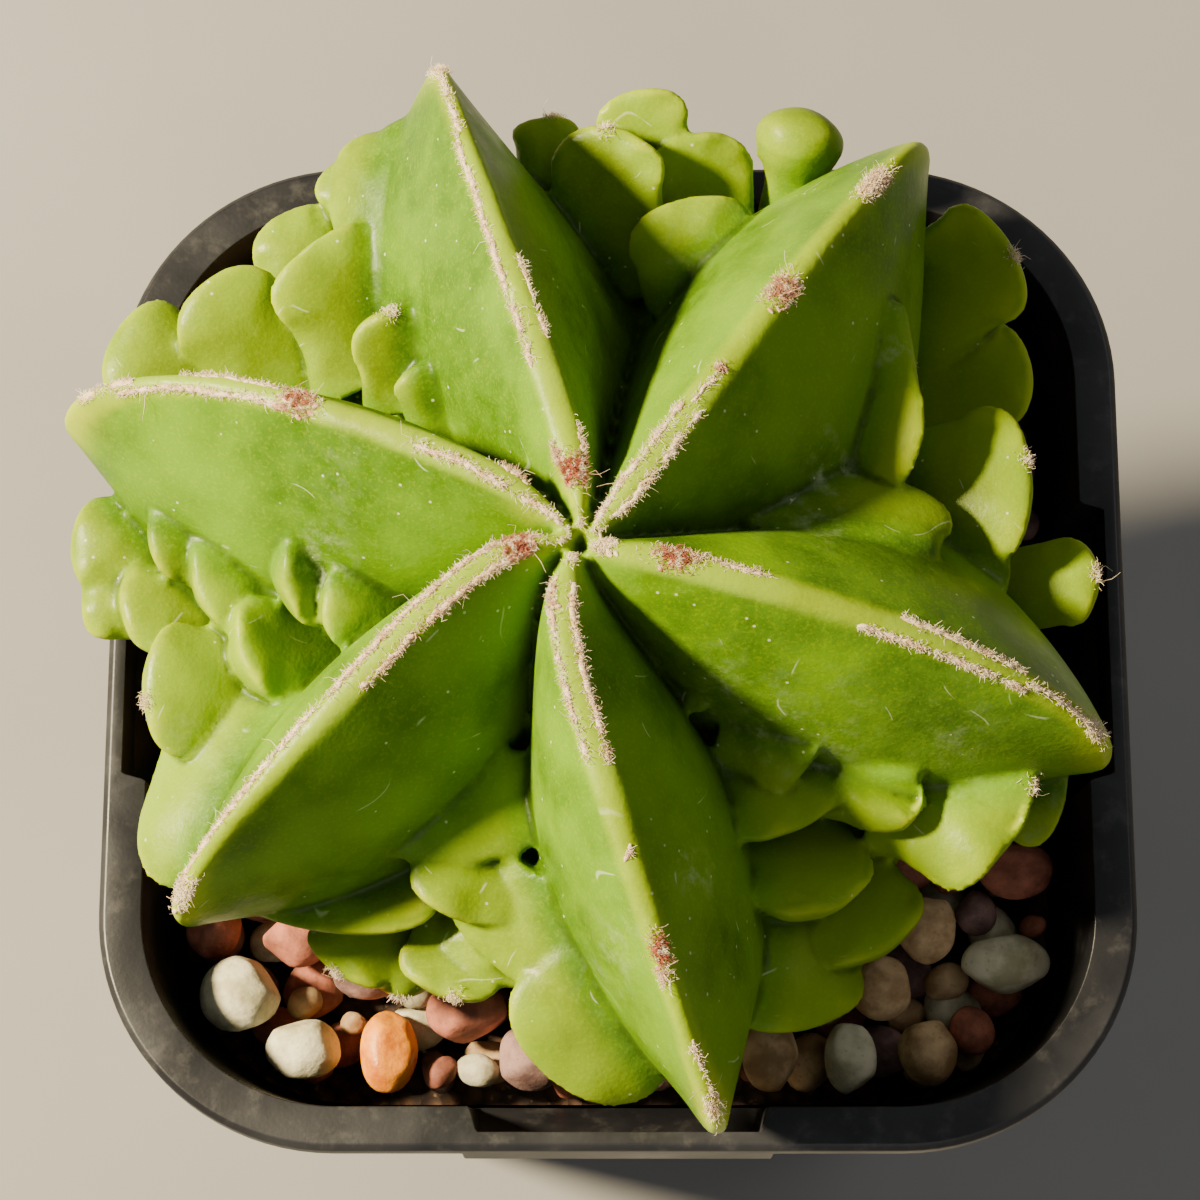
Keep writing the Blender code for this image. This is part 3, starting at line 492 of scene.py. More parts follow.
@dataclass(frozen=True)
class SkinFinish:
    """Living cactus skin: a smooth waxy cuticle over green flesh.

    It gives the eye a soft satin sheen, a faint pebble of cells, a painted yellow-green glow
    that stands in for light coming through thin flesh, painted shade in creases, grey-white dust
    and old scars. Sizes are those of its patterns.
    """

    name: str = "cactus_skin_waxy"
    deep: str = "#3f6402"
    mid: str = "#668f03"
    # Painted glow: yellow-green that stands in for light through thin flesh, rims, crests, tips and lobes. It
    # also tones the cell stipple.
    thin: str = "#a9b800"
    band: str = "#84a01e"
    # Painted shade: dark green laid into the creases.
    crease: str = "#2a4402"
    dust: str = "#a8b68a"
    mark: str = "#d3dcb2"
    # White flecks are 0.1 to 0.2 mm across, drawn at up to 0.4 mm so that they show.
    fleck_spacing: float = 1.7
    fleck_cluster: float = 6.0
    # Healed scars are short thin arcs, 1 to 4 mm long.
    scar_course: float = 6.5
    scar_length: float = 3.2
    broad_size: float = 13.0
    mottle_size: float = 1.8
    # The cells show as a stipple of 0.1 mm, drawn at 0.3 mm.
    stipple_size: float = 0.3
    dust_size: float = 2.0
    cell_size: float = 0.4
    swell_size: float = 4.0
    swell_height: float = 4.0
    bump_depth: float = 0.08

    def marks(self, tree: bpy.types.NodeTree, place: bpy.types.NodeSocket) -> bpy.types.NodeSocket:
        """Return the share of white flecks and healed scars over the skin."""
        dot = ramp(tree, cells(tree, place, self.fleck_spacing), 0.1, 0.05)
        few = ramp(tree, cloud(tree, place, self.fleck_cluster, 1.0), 0.44, 0.56)
        flecks = maths(tree, "MULTIPLY", dot, few)
        off = maths(tree, "SUBTRACT", cloud(tree, place, self.scar_course, 0.0), 0.47)
        line = ramp(tree, maths(tree, "ABSOLUTE", off), 0.009, 0.003)
        piece = ramp(tree, cloud(tree, place, self.scar_length, 1.0), 0.6, 0.68, 0.0, 0.55)
        scars = maths(tree, "MULTIPLY", line, piece)
        return maths(tree, "MAXIMUM", flecks, scars)

    def make(self) -> bpy.types.Material:
        """Return the skin material."""
        made, tree, shader, place = new_material(self.name)
        broad = cloud(tree, place, self.broad_size, 3.0)
        mottle = cloud(tree, place, self.mottle_size, 4.0)
        stipple = cloud(tree, place, self.stipple_size, 1.0)
        # Grey dust gathers where the skin was sheltered, broken by touch into patches.
        patches = ramp(tree, cloud(tree, place, self.dust_size, 6.0, 0.72), 0.44, 0.72, 0.0, 0.6)
        veil = maths(tree, "MULTIPLY", patches, stored(tree, "dust"))
        bend = stored(tree, "bend")
        green = blend(tree, ramp(tree, broad, 0.36, 0.64), linear(self.deep), linear(self.mid))
        # Mottled flesh first. Then a painted yellow-green glow where thin places, rims, crests, tips
        # and lobes would let the light through, and painted shade in the creases. What lies on the skin comes
        # last.
        for share, tone in (
                (ramp(tree, mottle, 0.3, 0.75, 0.0, 0.35), self.mid),
                (ramp(tree, stipple, 0.5, 0.72, 0.0, 0.12), self.thin),
                # Painted glow near crests, in thin places, on lobes, on rims and at tips.
                (ramp(tree, stored(tree, "crest"), 1.8, 0.3, 0.0, 0.4), self.thin),
                (ramp(tree, stored(tree, "thickness"), 4.2, 1.2, 0.0, 0.8), self.thin),
                (ramp(tree, stored(tree, "lobe"), 0.0, 1.0, 0.0, 0.28), self.thin),
                (ramp(tree, bend, 0.16, 0.45, 0.0, 0.6), self.thin),
                # Painted shade in the creases.
                (ramp(tree, bend, -0.05, -0.35, 0.0, 0.8), self.crease),
                (ramp(tree, stored(tree, "tip"), 0.0, 1.0, 0.0, 0.7), self.thin),
                (ramp(tree, stored(tree, "band"), 0.0, 1.0, 0.0, 0.6), self.band),
                (veil, self.dust),
                (ramp(tree, self.marks(tree, place), 0.0, 1.0, 0.0, 0.6), self.mark)):
            green = blend(tree, share, green, linear(tone))
        dull = maths(tree, "MULTIPLY_ADD", veil, 0.25, ramp(tree, mottle, 0.3, 0.7, 0.34, 0.46))
        feed(tree, shader, colour=green, roughness=dull)
        height = maths(tree, "MULTIPLY_ADD", cloud(tree, place, self.swell_size, 2.0), self.swell_height,
                       cloud(tree, place, self.cell_size, 2.0))
        roughen(tree, shader, height, 0.4, self.bump_depth)
        set_inputs(shader, {"IOR": 1.42, "Specular IOR Level": 0.28, "Subsurface Weight": 0.2,
                            "Subsurface Radius": (0.6, 1.0, 0.03), "Subsurface Scale": 1.5 * MM})
        return made


@dataclass(frozen=True)
class FeltFinish:
    """Areole wool: short matted plant hairs, cream when young and rust-brown where they age."""

    name: str = "areole_wool_hairs"
    cream: str = "#f6e8ca"
    tan: str = "#bd9d72"
    rust: str = "#9c4a2c"
    tuft_size: float = 0.9
    speck_size: float = 0.6

    def make(self) -> bpy.types.Material:
        """Return the wool material."""
        made, tree, shader, place = new_material(self.name)
        tuft = ramp(tree, cloud(tree, place, self.tuft_size, 3.0), 0.4, 0.7, 0.0, 0.5)
        tanned = maths(tree, "MULTIPLY_ADD", stored(tree, "shade"), 0.55, tuft, clamp=True)
        wool = blend(tree, tanned, linear(self.cream), linear(self.tan))
        speck = ramp(tree, cloud(tree, place, self.speck_size, 2.0), 0.36, 0.54)
        aged = maths(tree, "MULTIPLY", speck, stored(tree, "rust"))
        feed(tree, shader, colour=blend(tree, aged, wool, linear(self.rust)))
        set_inputs(shader, {"Roughness": 0.9, "Sheen Weight": 0.2, "Sheen Roughness": 0.5})
        return made


@dataclass(frozen=True)
class StoneFinish:
    """River-worn stone: matt, with grains and veins."""

    name: str
    light: str
    dark: str
    grain: float = 0.7
    roughness: float = 0.62
    vein_size: float = 3.2
    pitting: float = 0.5
    pit_depth: float = 0.15

    def make(self) -> bpy.types.Material:
        """Return the stone material."""
        made, tree, shader, place = new_material(self.name)
        veins = cloud(tree, place, self.vein_size, 5.0, 0.6)
        specks = ramp(tree, cells(tree, place, self.grain), 0.25, 0.12, 0.0, 0.4)
        body = blend(tree, ramp(tree, veins, 0.35, 0.65), linear(self.dark), linear(self.light))
        body = blend(tree, specks, body, linear(self.dark))
        value = ramp(tree, stored(tree, "tint"), 0.0, 1.0, 0.7, 1.25)
        shade = add(tree, "HueSaturation", {}, {"Color": body, "Value": value}).outputs[0]
        worn = ramp(tree, veins, 0.3, 0.7, self.roughness, self.roughness + 0.22)
        feed(tree, shader, colour=shade, roughness=worn)
        roughen(tree, shader, cloud(tree, place, self.pitting, 4.0), 0.5, self.pit_depth)
        return made


@dataclass(frozen=True)
class PlasticFinish:
    """Black injection-moulded polypropylene: a fine satin grain, greyed by dust and handling."""

    name: str = "polypropylene_black_moulded"
    black: str = "#17171a"
    worn: str = "#303033"
    dust: str = "#6d6a66"
    smear_size: float = 11.0
    grit_size: float = 2.4
    # Moulding grain of 0.1 mm is drawn at 0.35 mm, so that it shows.
    grain_size: float = 0.35
    grain_depth: float = 0.06

    def make(self) -> bpy.types.Material:
        """Return the plastic material."""
        made, tree, shader, place = new_material(self.name)
        smear = cloud(tree, place, self.smear_size, 5.0, distortion=0.6)
        handled = ramp(tree, smear, 0.4, 0.75, 0.0, 0.7)
        base = blend(tree, handled, linear(self.black), linear(self.worn))
        settled = ramp(tree, cloud(tree, place, self.grit_size, 6.0, 0.65), 0.5, 0.8, 0.0, 0.25)
        feed(tree, shader, colour=blend(tree, settled, base, linear(self.dust)),
             roughness=ramp(tree, smear, 0.3, 0.7, 0.36, 0.52))
        roughen(tree, shader, cloud(tree, place, self.grain_size, 2.0), 0.18, self.grain_depth)
        set_inputs(shader, {"IOR": 1.49})
        return made


@dataclass(frozen=True)
class MixFinish:
    """Damp peat and bark potting mix: near-black brown crumbs with pale fibres."""

    name: str = "potting_mix_peat"
    dark: str = "#241810"
    brown: str = "#4d3524"
    fibre: str = "#7d6248"
    crumb_size: float = 1.5
    fibre_size: float = 0.8
    crumb_depth: float = 0.6

    def make(self) -> bpy.types.Material:
        """Return the potting mix material."""
        made, tree, shader, place = new_material(self.name)
        crumb = cells(tree, place, self.crumb_size)
        earth = blend(tree, ramp(tree, crumb, 0.1, 0.7), linear(self.brown), linear(self.dark))
        strand = ramp(tree, cloud(tree, place, self.fibre_size, 5.0), 0.62, 0.72, 0.0, 0.7)
        feed(tree, shader, colour=blend(tree, strand, earth, linear(self.fibre)))
        roughen(tree, shader, crumb, 0.9, self.crumb_depth)
        set_inputs(shader, {"Roughness": 0.95})
        return made


# ---- Plant ----


class LobeForm(Enum):
    """The kinds of fleshy outgrowth in the furrows."""

    KNOB = "knob"
    FLAP = "flap"
    CUP = "cup"
    FOLD = "fold"
    FRILL = "frill"
    KEEL = "keel"


@dataclass(frozen=True)
class LobeStyle:
    """How a lobe's rounded form is drawn out, in shares of its half width or half depth.

    Neck is the width that its root keeps, as a share of the usual root.
    """

    fan: float
    cup: float
    crease: float
    ripple: float
    square: float
    pinch: float
    neck: float = 1.0


LOBE_STYLES = {
    LobeForm.KNOB: LobeStyle(fan=0.0, cup=0.05, crease=0.0, ripple=0.03, square=0.15, pinch=0.1,
                             neck=0.55),
    LobeForm.FLAP: LobeStyle(fan=0.18, cup=0.35, crease=0.1, ripple=0.03, square=0.4, pinch=0.55),
    LobeForm.CUP: LobeStyle(fan=0.15, cup=0.85, crease=0.0, ripple=0.03, square=0.35, pinch=0.5),
    LobeForm.FOLD: LobeStyle(fan=0.12, cup=-0.2, crease=0.7, ripple=0.04, square=0.35, pinch=0.4),
    LobeForm.FRILL: LobeStyle(fan=0.25, cup=0.4, crease=0.35, ripple=0.07, square=0.35, pinch=0.5),
    LobeForm.KEEL: LobeStyle(fan=0.0, cup=0.0, crease=0.0, ripple=0.03, square=0.3, pinch=0.7),
}


@dataclass(frozen=True)
class Lobe:
    """One lobe: place by azimuth, reach and height over the rim, half sizes, roll and form.

    A lobe with an aim points to that azimuth and rises by its tilt. Without one it grows
    straight out of the skin beside it.
    """

    azimuth: float
    reach: float
    height: float
    half_width: float
    half_depth: float
    half_length: float
    roll: float = 0.0
    form: LobeForm = LobeForm.KNOB
    areole: bool = False
    aim: float | None = None
    tilt: float = 0.0


KNOB, FLAP, CUP, FOLD, FRILL, KEEL = LobeForm
LOBES = (
    # Between the right rib and the upper right rib
    Lobe(17, 21.0, 13.0, 9.0, 3.4, 5.4, 0, FLAP, False, 78, -22),
    Lobe(36, 27.6, 11.8, 6.8, 2.6, 8.8, 48, KEEL, False, 280, -4),
    Lobe(37, 32.2, 13.0, 1.3, 1.1, 1.3, 0, KNOB, True),
    Lobe(18, 33.7, 8.5, 6.2, 2.8, 5.6, 0, FLAP, True, 5, 26),
    Lobe(6, 31.0, 7.0, 3.8, 3.2, 4.6, 0, FLAP, False, -8, 20),
    Lobe(5, 39.6, 4.5, 3.6, 2.6, 3.6, 0, FLAP, True, 5, 25),
    Lobe(42, 44.8, 7.0, 5.4, 2.4, 4.2, 0, CUP, True, 25, 35),
    Lobe(32, 40.4, 3.8, 4.4, 2.4, 4.2, 0, CUP, False, 15, 24),
    # Between the upper right rib and the top rib
    Lobe(66, 45.0, 5.0, 3.7, 3.4, 3.2, 0, KNOB, False, 75, 45),
    Lobe(74, 32.6, 9.5, 5.0, 2.8, 4.2, 0, FLAP, False, 110, 30),
    Lobe(76, 40.3, 6.2, 4.4, 2.6, 3.8, 10, CUP, False, 95, 32),
    Lobe(83, 43.2, 4.2, 3.8, 2.4, 3.2, -5, CUP, False, 98, 30),
    Lobe(86, 38.0, 8.5, 4.8, 2.8, 4.8, -20, CUP, True, 92, 38),
    Lobe(94, 42.5, 5.0, 2.8, 2.4, 2.4, 0, FLAP, True, 92, 20),
    # Between the top rib and the left rib
    Lobe(126, 33.4, 9.0, 5.8, 2.8, 5.8, 10, FLAP, False, 118, 34),
    Lobe(139, 38.0, 7.5, 4.8, 3.0, 5.0, -5, FLAP, False, 132, 35),
    Lobe(148, 42.0, 5.5, 4.6, 3.4, 4.6, 0, FLAP, False, 150, 25),
    Lobe(125, 26.1, 12.0, 3.8, 2.8, 4.2, 0, CUP, True, 105, 45),
    Lobe(126, 21.6, 13.5, 2.4, 1.9, 2.4, 0, FLAP, False, 110, 45),
    Lobe(116, 41.5, 6.5, 4.2, 3.4, 3.8, 15, FLAP, True, 125, 12),
    Lobe(113, 36.0, 10.0, 8.5, 4.2, 6.5, 0, FLAP, False, 196, -22),
    Lobe(126, 41.0, 4.0, 3.8, 3.0, 3.4, 0, FLAP, False, 128, 20),
    # Between the left rib and the lower left rib
    Lobe(174, 21.7, 12.5, 4.4, 2.8, 4.6, -15, CUP, False, 188, 48),
    Lobe(181, 17.6, 13.2, 4.6, 2.4, 3.8, 5, FLAP, False, 165, 38),
    Lobe(171, 14.7, 14.5, 1.5, 1.2, 1.9, 0, FLAP, False, 150, 40),
    Lobe(176, 16.6, 14.0, 1.5, 1.2, 1.9, 0, FLAP, False, 158, 40),
    Lobe(168, 32.0, 9.0, 4.8, 3.0, 5.0, 10, FLAP, False, 160, 35),
    Lobe(175, 28.0, 9.0, 4.6, 3.0, 4.8, 0, FLAP, False, 190, 38),
    Lobe(179, 34.0, 6.5, 4.0, 2.8, 4.2, 0, FLAP, False, 195, 28),
    Lobe(171, 38.8, 5.5, 4.0, 3.2, 4.0, 0, FLAP, False, 172, 18),
    Lobe(188, 25.5, 9.0, 4.0, 2.8, 4.4, -10, CUP, False, 205, 42),
    Lobe(192, 31.8, 8.0, 5.2, 3.2, 5.2, -10, FLAP, True, 190, 32),
    Lobe(177, 38.0, 4.0, 3.6, 3.0, 3.4, 0, FLAP, False, 180, 15),
    Lobe(207, 31.0, 7.0, 9.0, 4.2, 7.5, 0, FLAP, False, 158, -22),
    # Between the lower left rib and the bottom rib
    Lobe(236, 19.6, 10.8, 8.6, 2.4, 5.0, 0, FLAP, False, 270, -6),
    Lobe(227, 29.0, 4.5, 9.0, 3.0, 5.4, 8, CUP, False, 258, 14),
    Lobe(248, 22.5, 8.0, 5.2, 2.8, 5.6, -20, FLAP, False, 272, 12),
    Lobe(266, 26.5, 7.2, 8.6, 3.0, 5.0, 0, FLAP, False, 237, -18),
    Lobe(258, 25.8, 3.6, 5.4, 3.2, 5.0, 0, FLAP, False, 255, 0),
    Lobe(250, 29.5, 2.5, 4.2, 2.8, 3.8, 0, CUP, True, 255, 14),
    Lobe(235, 32.0, 0.5, 3.6, 2.8, 3.0, 0, FLAP, True, 235, 12),
    Lobe(242, 31.0, -0.5, 3.0, 2.6, 2.6, 0, KNOB, True),
    Lobe(273, 32.0, 4.5, 7.0, 3.6, 6.8, -25, FLAP, False, 235, -14),
    # Between the bottom rib and the right rib
    Lobe(322, 12.2, 14.0, 2.4, 1.6, 2.4, 0, FLAP, False, 330, 30),
    Lobe(327, 18.6, 12.5, 5.6, 2.6, 4.4, 15, FOLD, False, 332, 28),
    Lobe(316, 21.6, 9.5, 5.6, 2.6, 4.8, -10, FLAP, False, 300, 22),
    Lobe(327, 26.2, 9.5, 3.6, 2.8, 6.0, 15, FOLD, False, 335, 22),
    Lobe(333, 33.3, 7.5, 6.4, 3.2, 7.0, 10, FRILL, True, 338, 20),
    Lobe(339, 38.5, 3.5, 4.4, 3.0, 3.8, 0, FLAP, False, 345, 12),
    Lobe(309, 27.0, 6.0, 5.6, 2.8, 6.0, -15, CUP, False, 290, 30),
    Lobe(313, 33.0, 2.5, 4.8, 3.0, 4.6, 0, CUP, False, 300, 20),
    Lobe(300, 33.5, 2.5, 5.4, 3.6, 4.8, -20, FLAP, False, 290, 4),
)


@dataclass(frozen=True)
class PaleBand:
    """Where a crest keeps its pale band between two woolly lines: rib, start and end reach."""

    rib: int
    start: float
    end: float
    fade_in: tuple[float, float] = (-1.5, 1.0)
    fade_out: float = 2.0

    def strength(self, reach: float) -> float:
        """Return how clear the band is at a reach, from 0 to 1."""
        begun = smooth(reach, self.start + self.fade_in[0], self.start + self.fade_in[1])
        return begun * smooth(reach, self.end + self.fade_out, self.end - self.fade_out)


PALE_BANDS = (
    PaleBand(0, 5.0, 16.0), PaleBand(0, 24.0, 37.0), PaleBand(1, 1.5, 16.0), PaleBand(2, 12.0, 36.0),
    PaleBand(3, 2.0, 18.0), PaleBand(3, 22.0, 42.0), PaleBand(4, 2.5, 26.0), PaleBand(5, 2.5, 19.0),
)


@dataclass(frozen=True)
class DustPatch:
    """A dusty white patch of skin: reach, azimuth, size and strength."""

    reach: float
    azimuth: float
    size: float
    strength: float


DUST_PATCHES = (
    DustPatch(19.0, 14.0, 2.8, 0.9),
    DustPatch(14.0, 20.0, 2.4, 0.5),
    DustPatch(19.0, -40.0, 2.8, 0.8),
    DustPatch(23.0, -33.0, 3.0, 0.5),
    DustPatch(32.0, -24.0, 2.8, 0.5),
    DustPatch(14.5, 318.0, 2.0, 0.7),
    DustPatch(20.8, 175.0, 2.0, 1.4),
    DustPatch(22.3, 26.5, 2.2, 1.4),
    DustPatch(32.0, 37.0, 1.6, 1.2),
    DustPatch(25.3, 290.0, 1.5, 1.3),
    DustPatch(33.0, 200.0, 2.0, 0.5),
    DustPatch(31.0, 75.0, 2.6, 0.5),
    DustPatch(30.0, 275.0, 2.4, 0.5),
    DustPatch(20.0, 160.0, 2.4, 0.3),
)


@dataclass
class LobeStand:
    """Where one lobe stands: its middle, its three directions and the depth of its root."""

    middle: Vector
    outward: Vector
    side: Vector
    up: Vector
    root: float


@dataclass
class LobeMaker:
    """Makes lobes, each rooted in the ribbed skin and clear of the pot's rim.

    A lobe starts as a unit ball: across is its width, over its depth and along its length,
    which is negative in the root. Fields that are not sizes are shares of that ball.
    """

    form: PlantForm
    tree: BVHTree
    rings: tuple[int, int] = (28, 20)
    root_taper: float = 1.12
    root_sink: float = 2.6
    far_root: float = 9.0
    least_root: float = 0.8
    neck_span: float = 0.45
    pole: float = 0.2
    lean: float = 0.5
    curl: float = 0.5
    pinch_span: tuple[float, float] = (-0.6, 0.3)
    fan_rate: float = 0.9
    fan_least: float = -0.3
    cup_ahead: float = 0.7
    cup_middle: float = 0.25
    crease_half: float = 0.28
    crease_root: float = 0.35
    flutter: float = 2.0
    wave_phases: float = 6.3
    wave_counts: tuple[int, ...] = (2, 3, 3, 4)
    root_lift: float = 0.3
    lift_rounds: int = 3
    rim_pass: float = 0.8
    rim_inside: float = 1.2
    rim_slope: float = 2.4
    rim_height: float = 76.0
    rim_half: float = 39.0
    rim_corner: float = 16.2
    areole_places: list[tuple[Vector, Vector]] = field(default_factory=list)

    def stand(self, row: Lobe) -> LobeStand:
        """Return where a lobe stands, how it points and how deep its root goes."""
        middle = self.form.at(row.reach, row.azimuth, self.rim_height + row.height)
        foot, normal, _, gap = self.tree.find_nearest(middle)
        if row.aim is None:
            radial = Vector((middle.x - self.form.x, middle.y - self.form.y, 0.0)).normalized()
            outward = (normal + self.lean * radial).normalized()
        else:
            aim, tilt = math.radians(row.aim), math.radians(row.tilt)
            outward = Vector((math.cos(aim) * math.cos(tilt), math.sin(aim) * math.cos(tilt), math.sin(tilt)))
            behind = self.tree.ray_cast(middle, -outward, 2.0 * self.far_root)[3]
            gap = min(self.far_root, behind if behind is not None else gap)
        buried = (middle - foot).dot(normal) < 0.0
        side = outward.cross(Vector((0.0, 0.0, 1.0))).normalized()
        spin = Matrix.Rotation(math.radians(row.roll), 3, outward)
        up = spin @ side.cross(outward).normalized()
        return LobeStand(middle, outward, spin @ side, up, self.root_sink + (0.0 if buried else gap))

    def widths(self, row: Lobe, root: float, ball: Vector) -> tuple[float, float, float]:
        """Return how wide and deep a point of the ball lies, and how far the ball is stretched.

        Args:
            row: The lobe.
            root: The depth of its root.
            ball: The point of the unit ball.
        """
        style = LOBE_STYLES[row.form]
        across, over, along = ball
        lens = abs(over) ** (style.pinch * smooth(along, *self.pinch_span))
        if along < 0.0:
            ring = math.hypot(across, over)
            grow = mix(1.0, self.root_taper, -along) / ring if ring > self.pole else 1.0
            grow *= mix(1.0, style.neck, smooth(-along, 0.0, self.neck_span))
            wide, deep = across * grow, over * grow * lens
            stretch = max(root, row.half_length * self.least_root)
        else:
            fill = 1.0 + style.square * (1.0 - over * over) * along * (1.0 - along)
            wide, deep, stretch = across * fill, over * lens, row.half_length * fill
        return wide * (1.0 + style.fan * max(self.fan_least, along) * self.fan_rate), deep, stretch

    def place(self, row: Lobe, stand: LobeStand, ball: Vector, phase: float, waves: int) -> Vector:
        """Return where a point of the unit ball comes to lie on a lobe.

        Args:
            row: The lobe.
            stand: Where it stands.
            ball: The point of the unit ball.
            phase: Start of the waves along its edge.
            waves: Number of those waves.
        """
        style = LOBE_STYLES[row.form]
        across, over, along = ball
        ahead = max(0.0, along)
        angle = math.atan2(across, along)
        rim = min(1.0, math.hypot(across, ahead))
        wide, deep, stretch = self.widths(row, stand.root, ball)
        wave = 1.0 + style.ripple * math.sin(waves * angle + phase) * rim
        lift = style.cup * (across * across + self.cup_ahead * ahead ** 2 - self.cup_middle)
        if over > 0.0:
            lift -= style.crease * math.exp(-(across / self.crease_half) ** 2) * (self.crease_root + ahead)
        lift += style.ripple * self.flutter * math.sin(waves * self.flutter * angle + phase) * rim * rim
        place = stand.middle + stand.outward * along * stretch * wave
        place += stand.side * wide * row.half_width * wave
        place += stand.up * (deep * row.half_depth + lift * row.half_depth + self.curl * along * along)
        return place

    def make(self, row: Lobe, draw: random.Random) -> bmesh.types.BMesh:
        """Make one lobe.

        Args:
            row: The lobe's place, size and form.
            draw: Source of the lobe's small differences.

        Returns:
            The lobe as a closed bmesh of its own.
        """
        stand = self.stand(row)
        ball = bmesh.new()
        verts = bmesh.ops.create_uvsphere(ball, u_segments=self.rings[0], v_segments=self.rings[1],
                                          radius=1.0)["verts"]
        phase, waves = draw.uniform(0.0, self.wave_phases), draw.choice(self.wave_counts)
        lifts = [min(1.0, 1.0 + vert.co.z * (1.0 - self.root_lift)) for vert in verts]
        for vert in verts:
            vert.co = self.place(row, stand, vert.co, phase, waves)
        for _ in range(self.lift_rounds):
            short = max(self.clear_height(vert.co) - vert.co.z for vert in verts)
            for vert, share in zip(verts, lifts):
                vert.co.z += max(0.0, short) * share
        if row.areole:
            tip = max(verts, key=lambda vert: vert.co.dot(stand.outward))
            self.areole_places.append((tip.co.copy(), stand.outward.copy()))
        return ball

    def clear_height(self, point: Vector) -> float:
        """Return the lowest height at which a point clears the pot's wall and rim."""
        flat = self.rim_half - self.rim_corner
        over_x, over_y = abs(point.x) - flat, abs(point.y) - flat
        if over_x > 0.0 and over_y > 0.0:
            past = math.hypot(over_x, over_y) - self.rim_corner
        else:
            past = max(abs(point.x), abs(point.y)) - self.rim_half
        return self.rim_height + self.rim_pass + self.rim_slope * min(0.0, past + self.rim_inside)


@dataclass(frozen=True)
class Skirt:
    """The low ring of small lobes: the seeded rule that the CAD solid follows too."""

    count: int = 2
    seed: int = 12
    width_share: float = 0.62
    sizes: tuple[float, float] = (2.6, 3.5)
    heights: tuple[float, float] = (-0.6, 1.4)
    base: float = -2.6
    past_wall: float = 4.0
    wide: float = 1.15
    deep: float = 0.9

    def lobes(self, form: PlantForm) -> list[Lobe]:
        """Return the skirt's lobes, some in each furrow."""
        draw = random.Random(self.seed)
        rows = []
        for index, wall in enumerate(form.furrow_walls):
            start = form.ribs[index].azimuth
            gap = (form.ribs[(index + 1) % len(form.ribs)].azimuth - start) % 360.0
            for i in range(self.count):
                share = 0.5 + self.width_share * ((i + 0.5) / self.count - 0.5)
                size = draw.uniform(*self.sizes)
                height = self.base + draw.uniform(*self.heights)
                rows.append(Lobe(start + gap * share + draw.uniform(-2, 2),
                                 wall + self.past_wall + draw.uniform(-1, 1), height, size * self.wide,
                                 size * self.deep, size, draw.uniform(-20, 20)))
        return rows


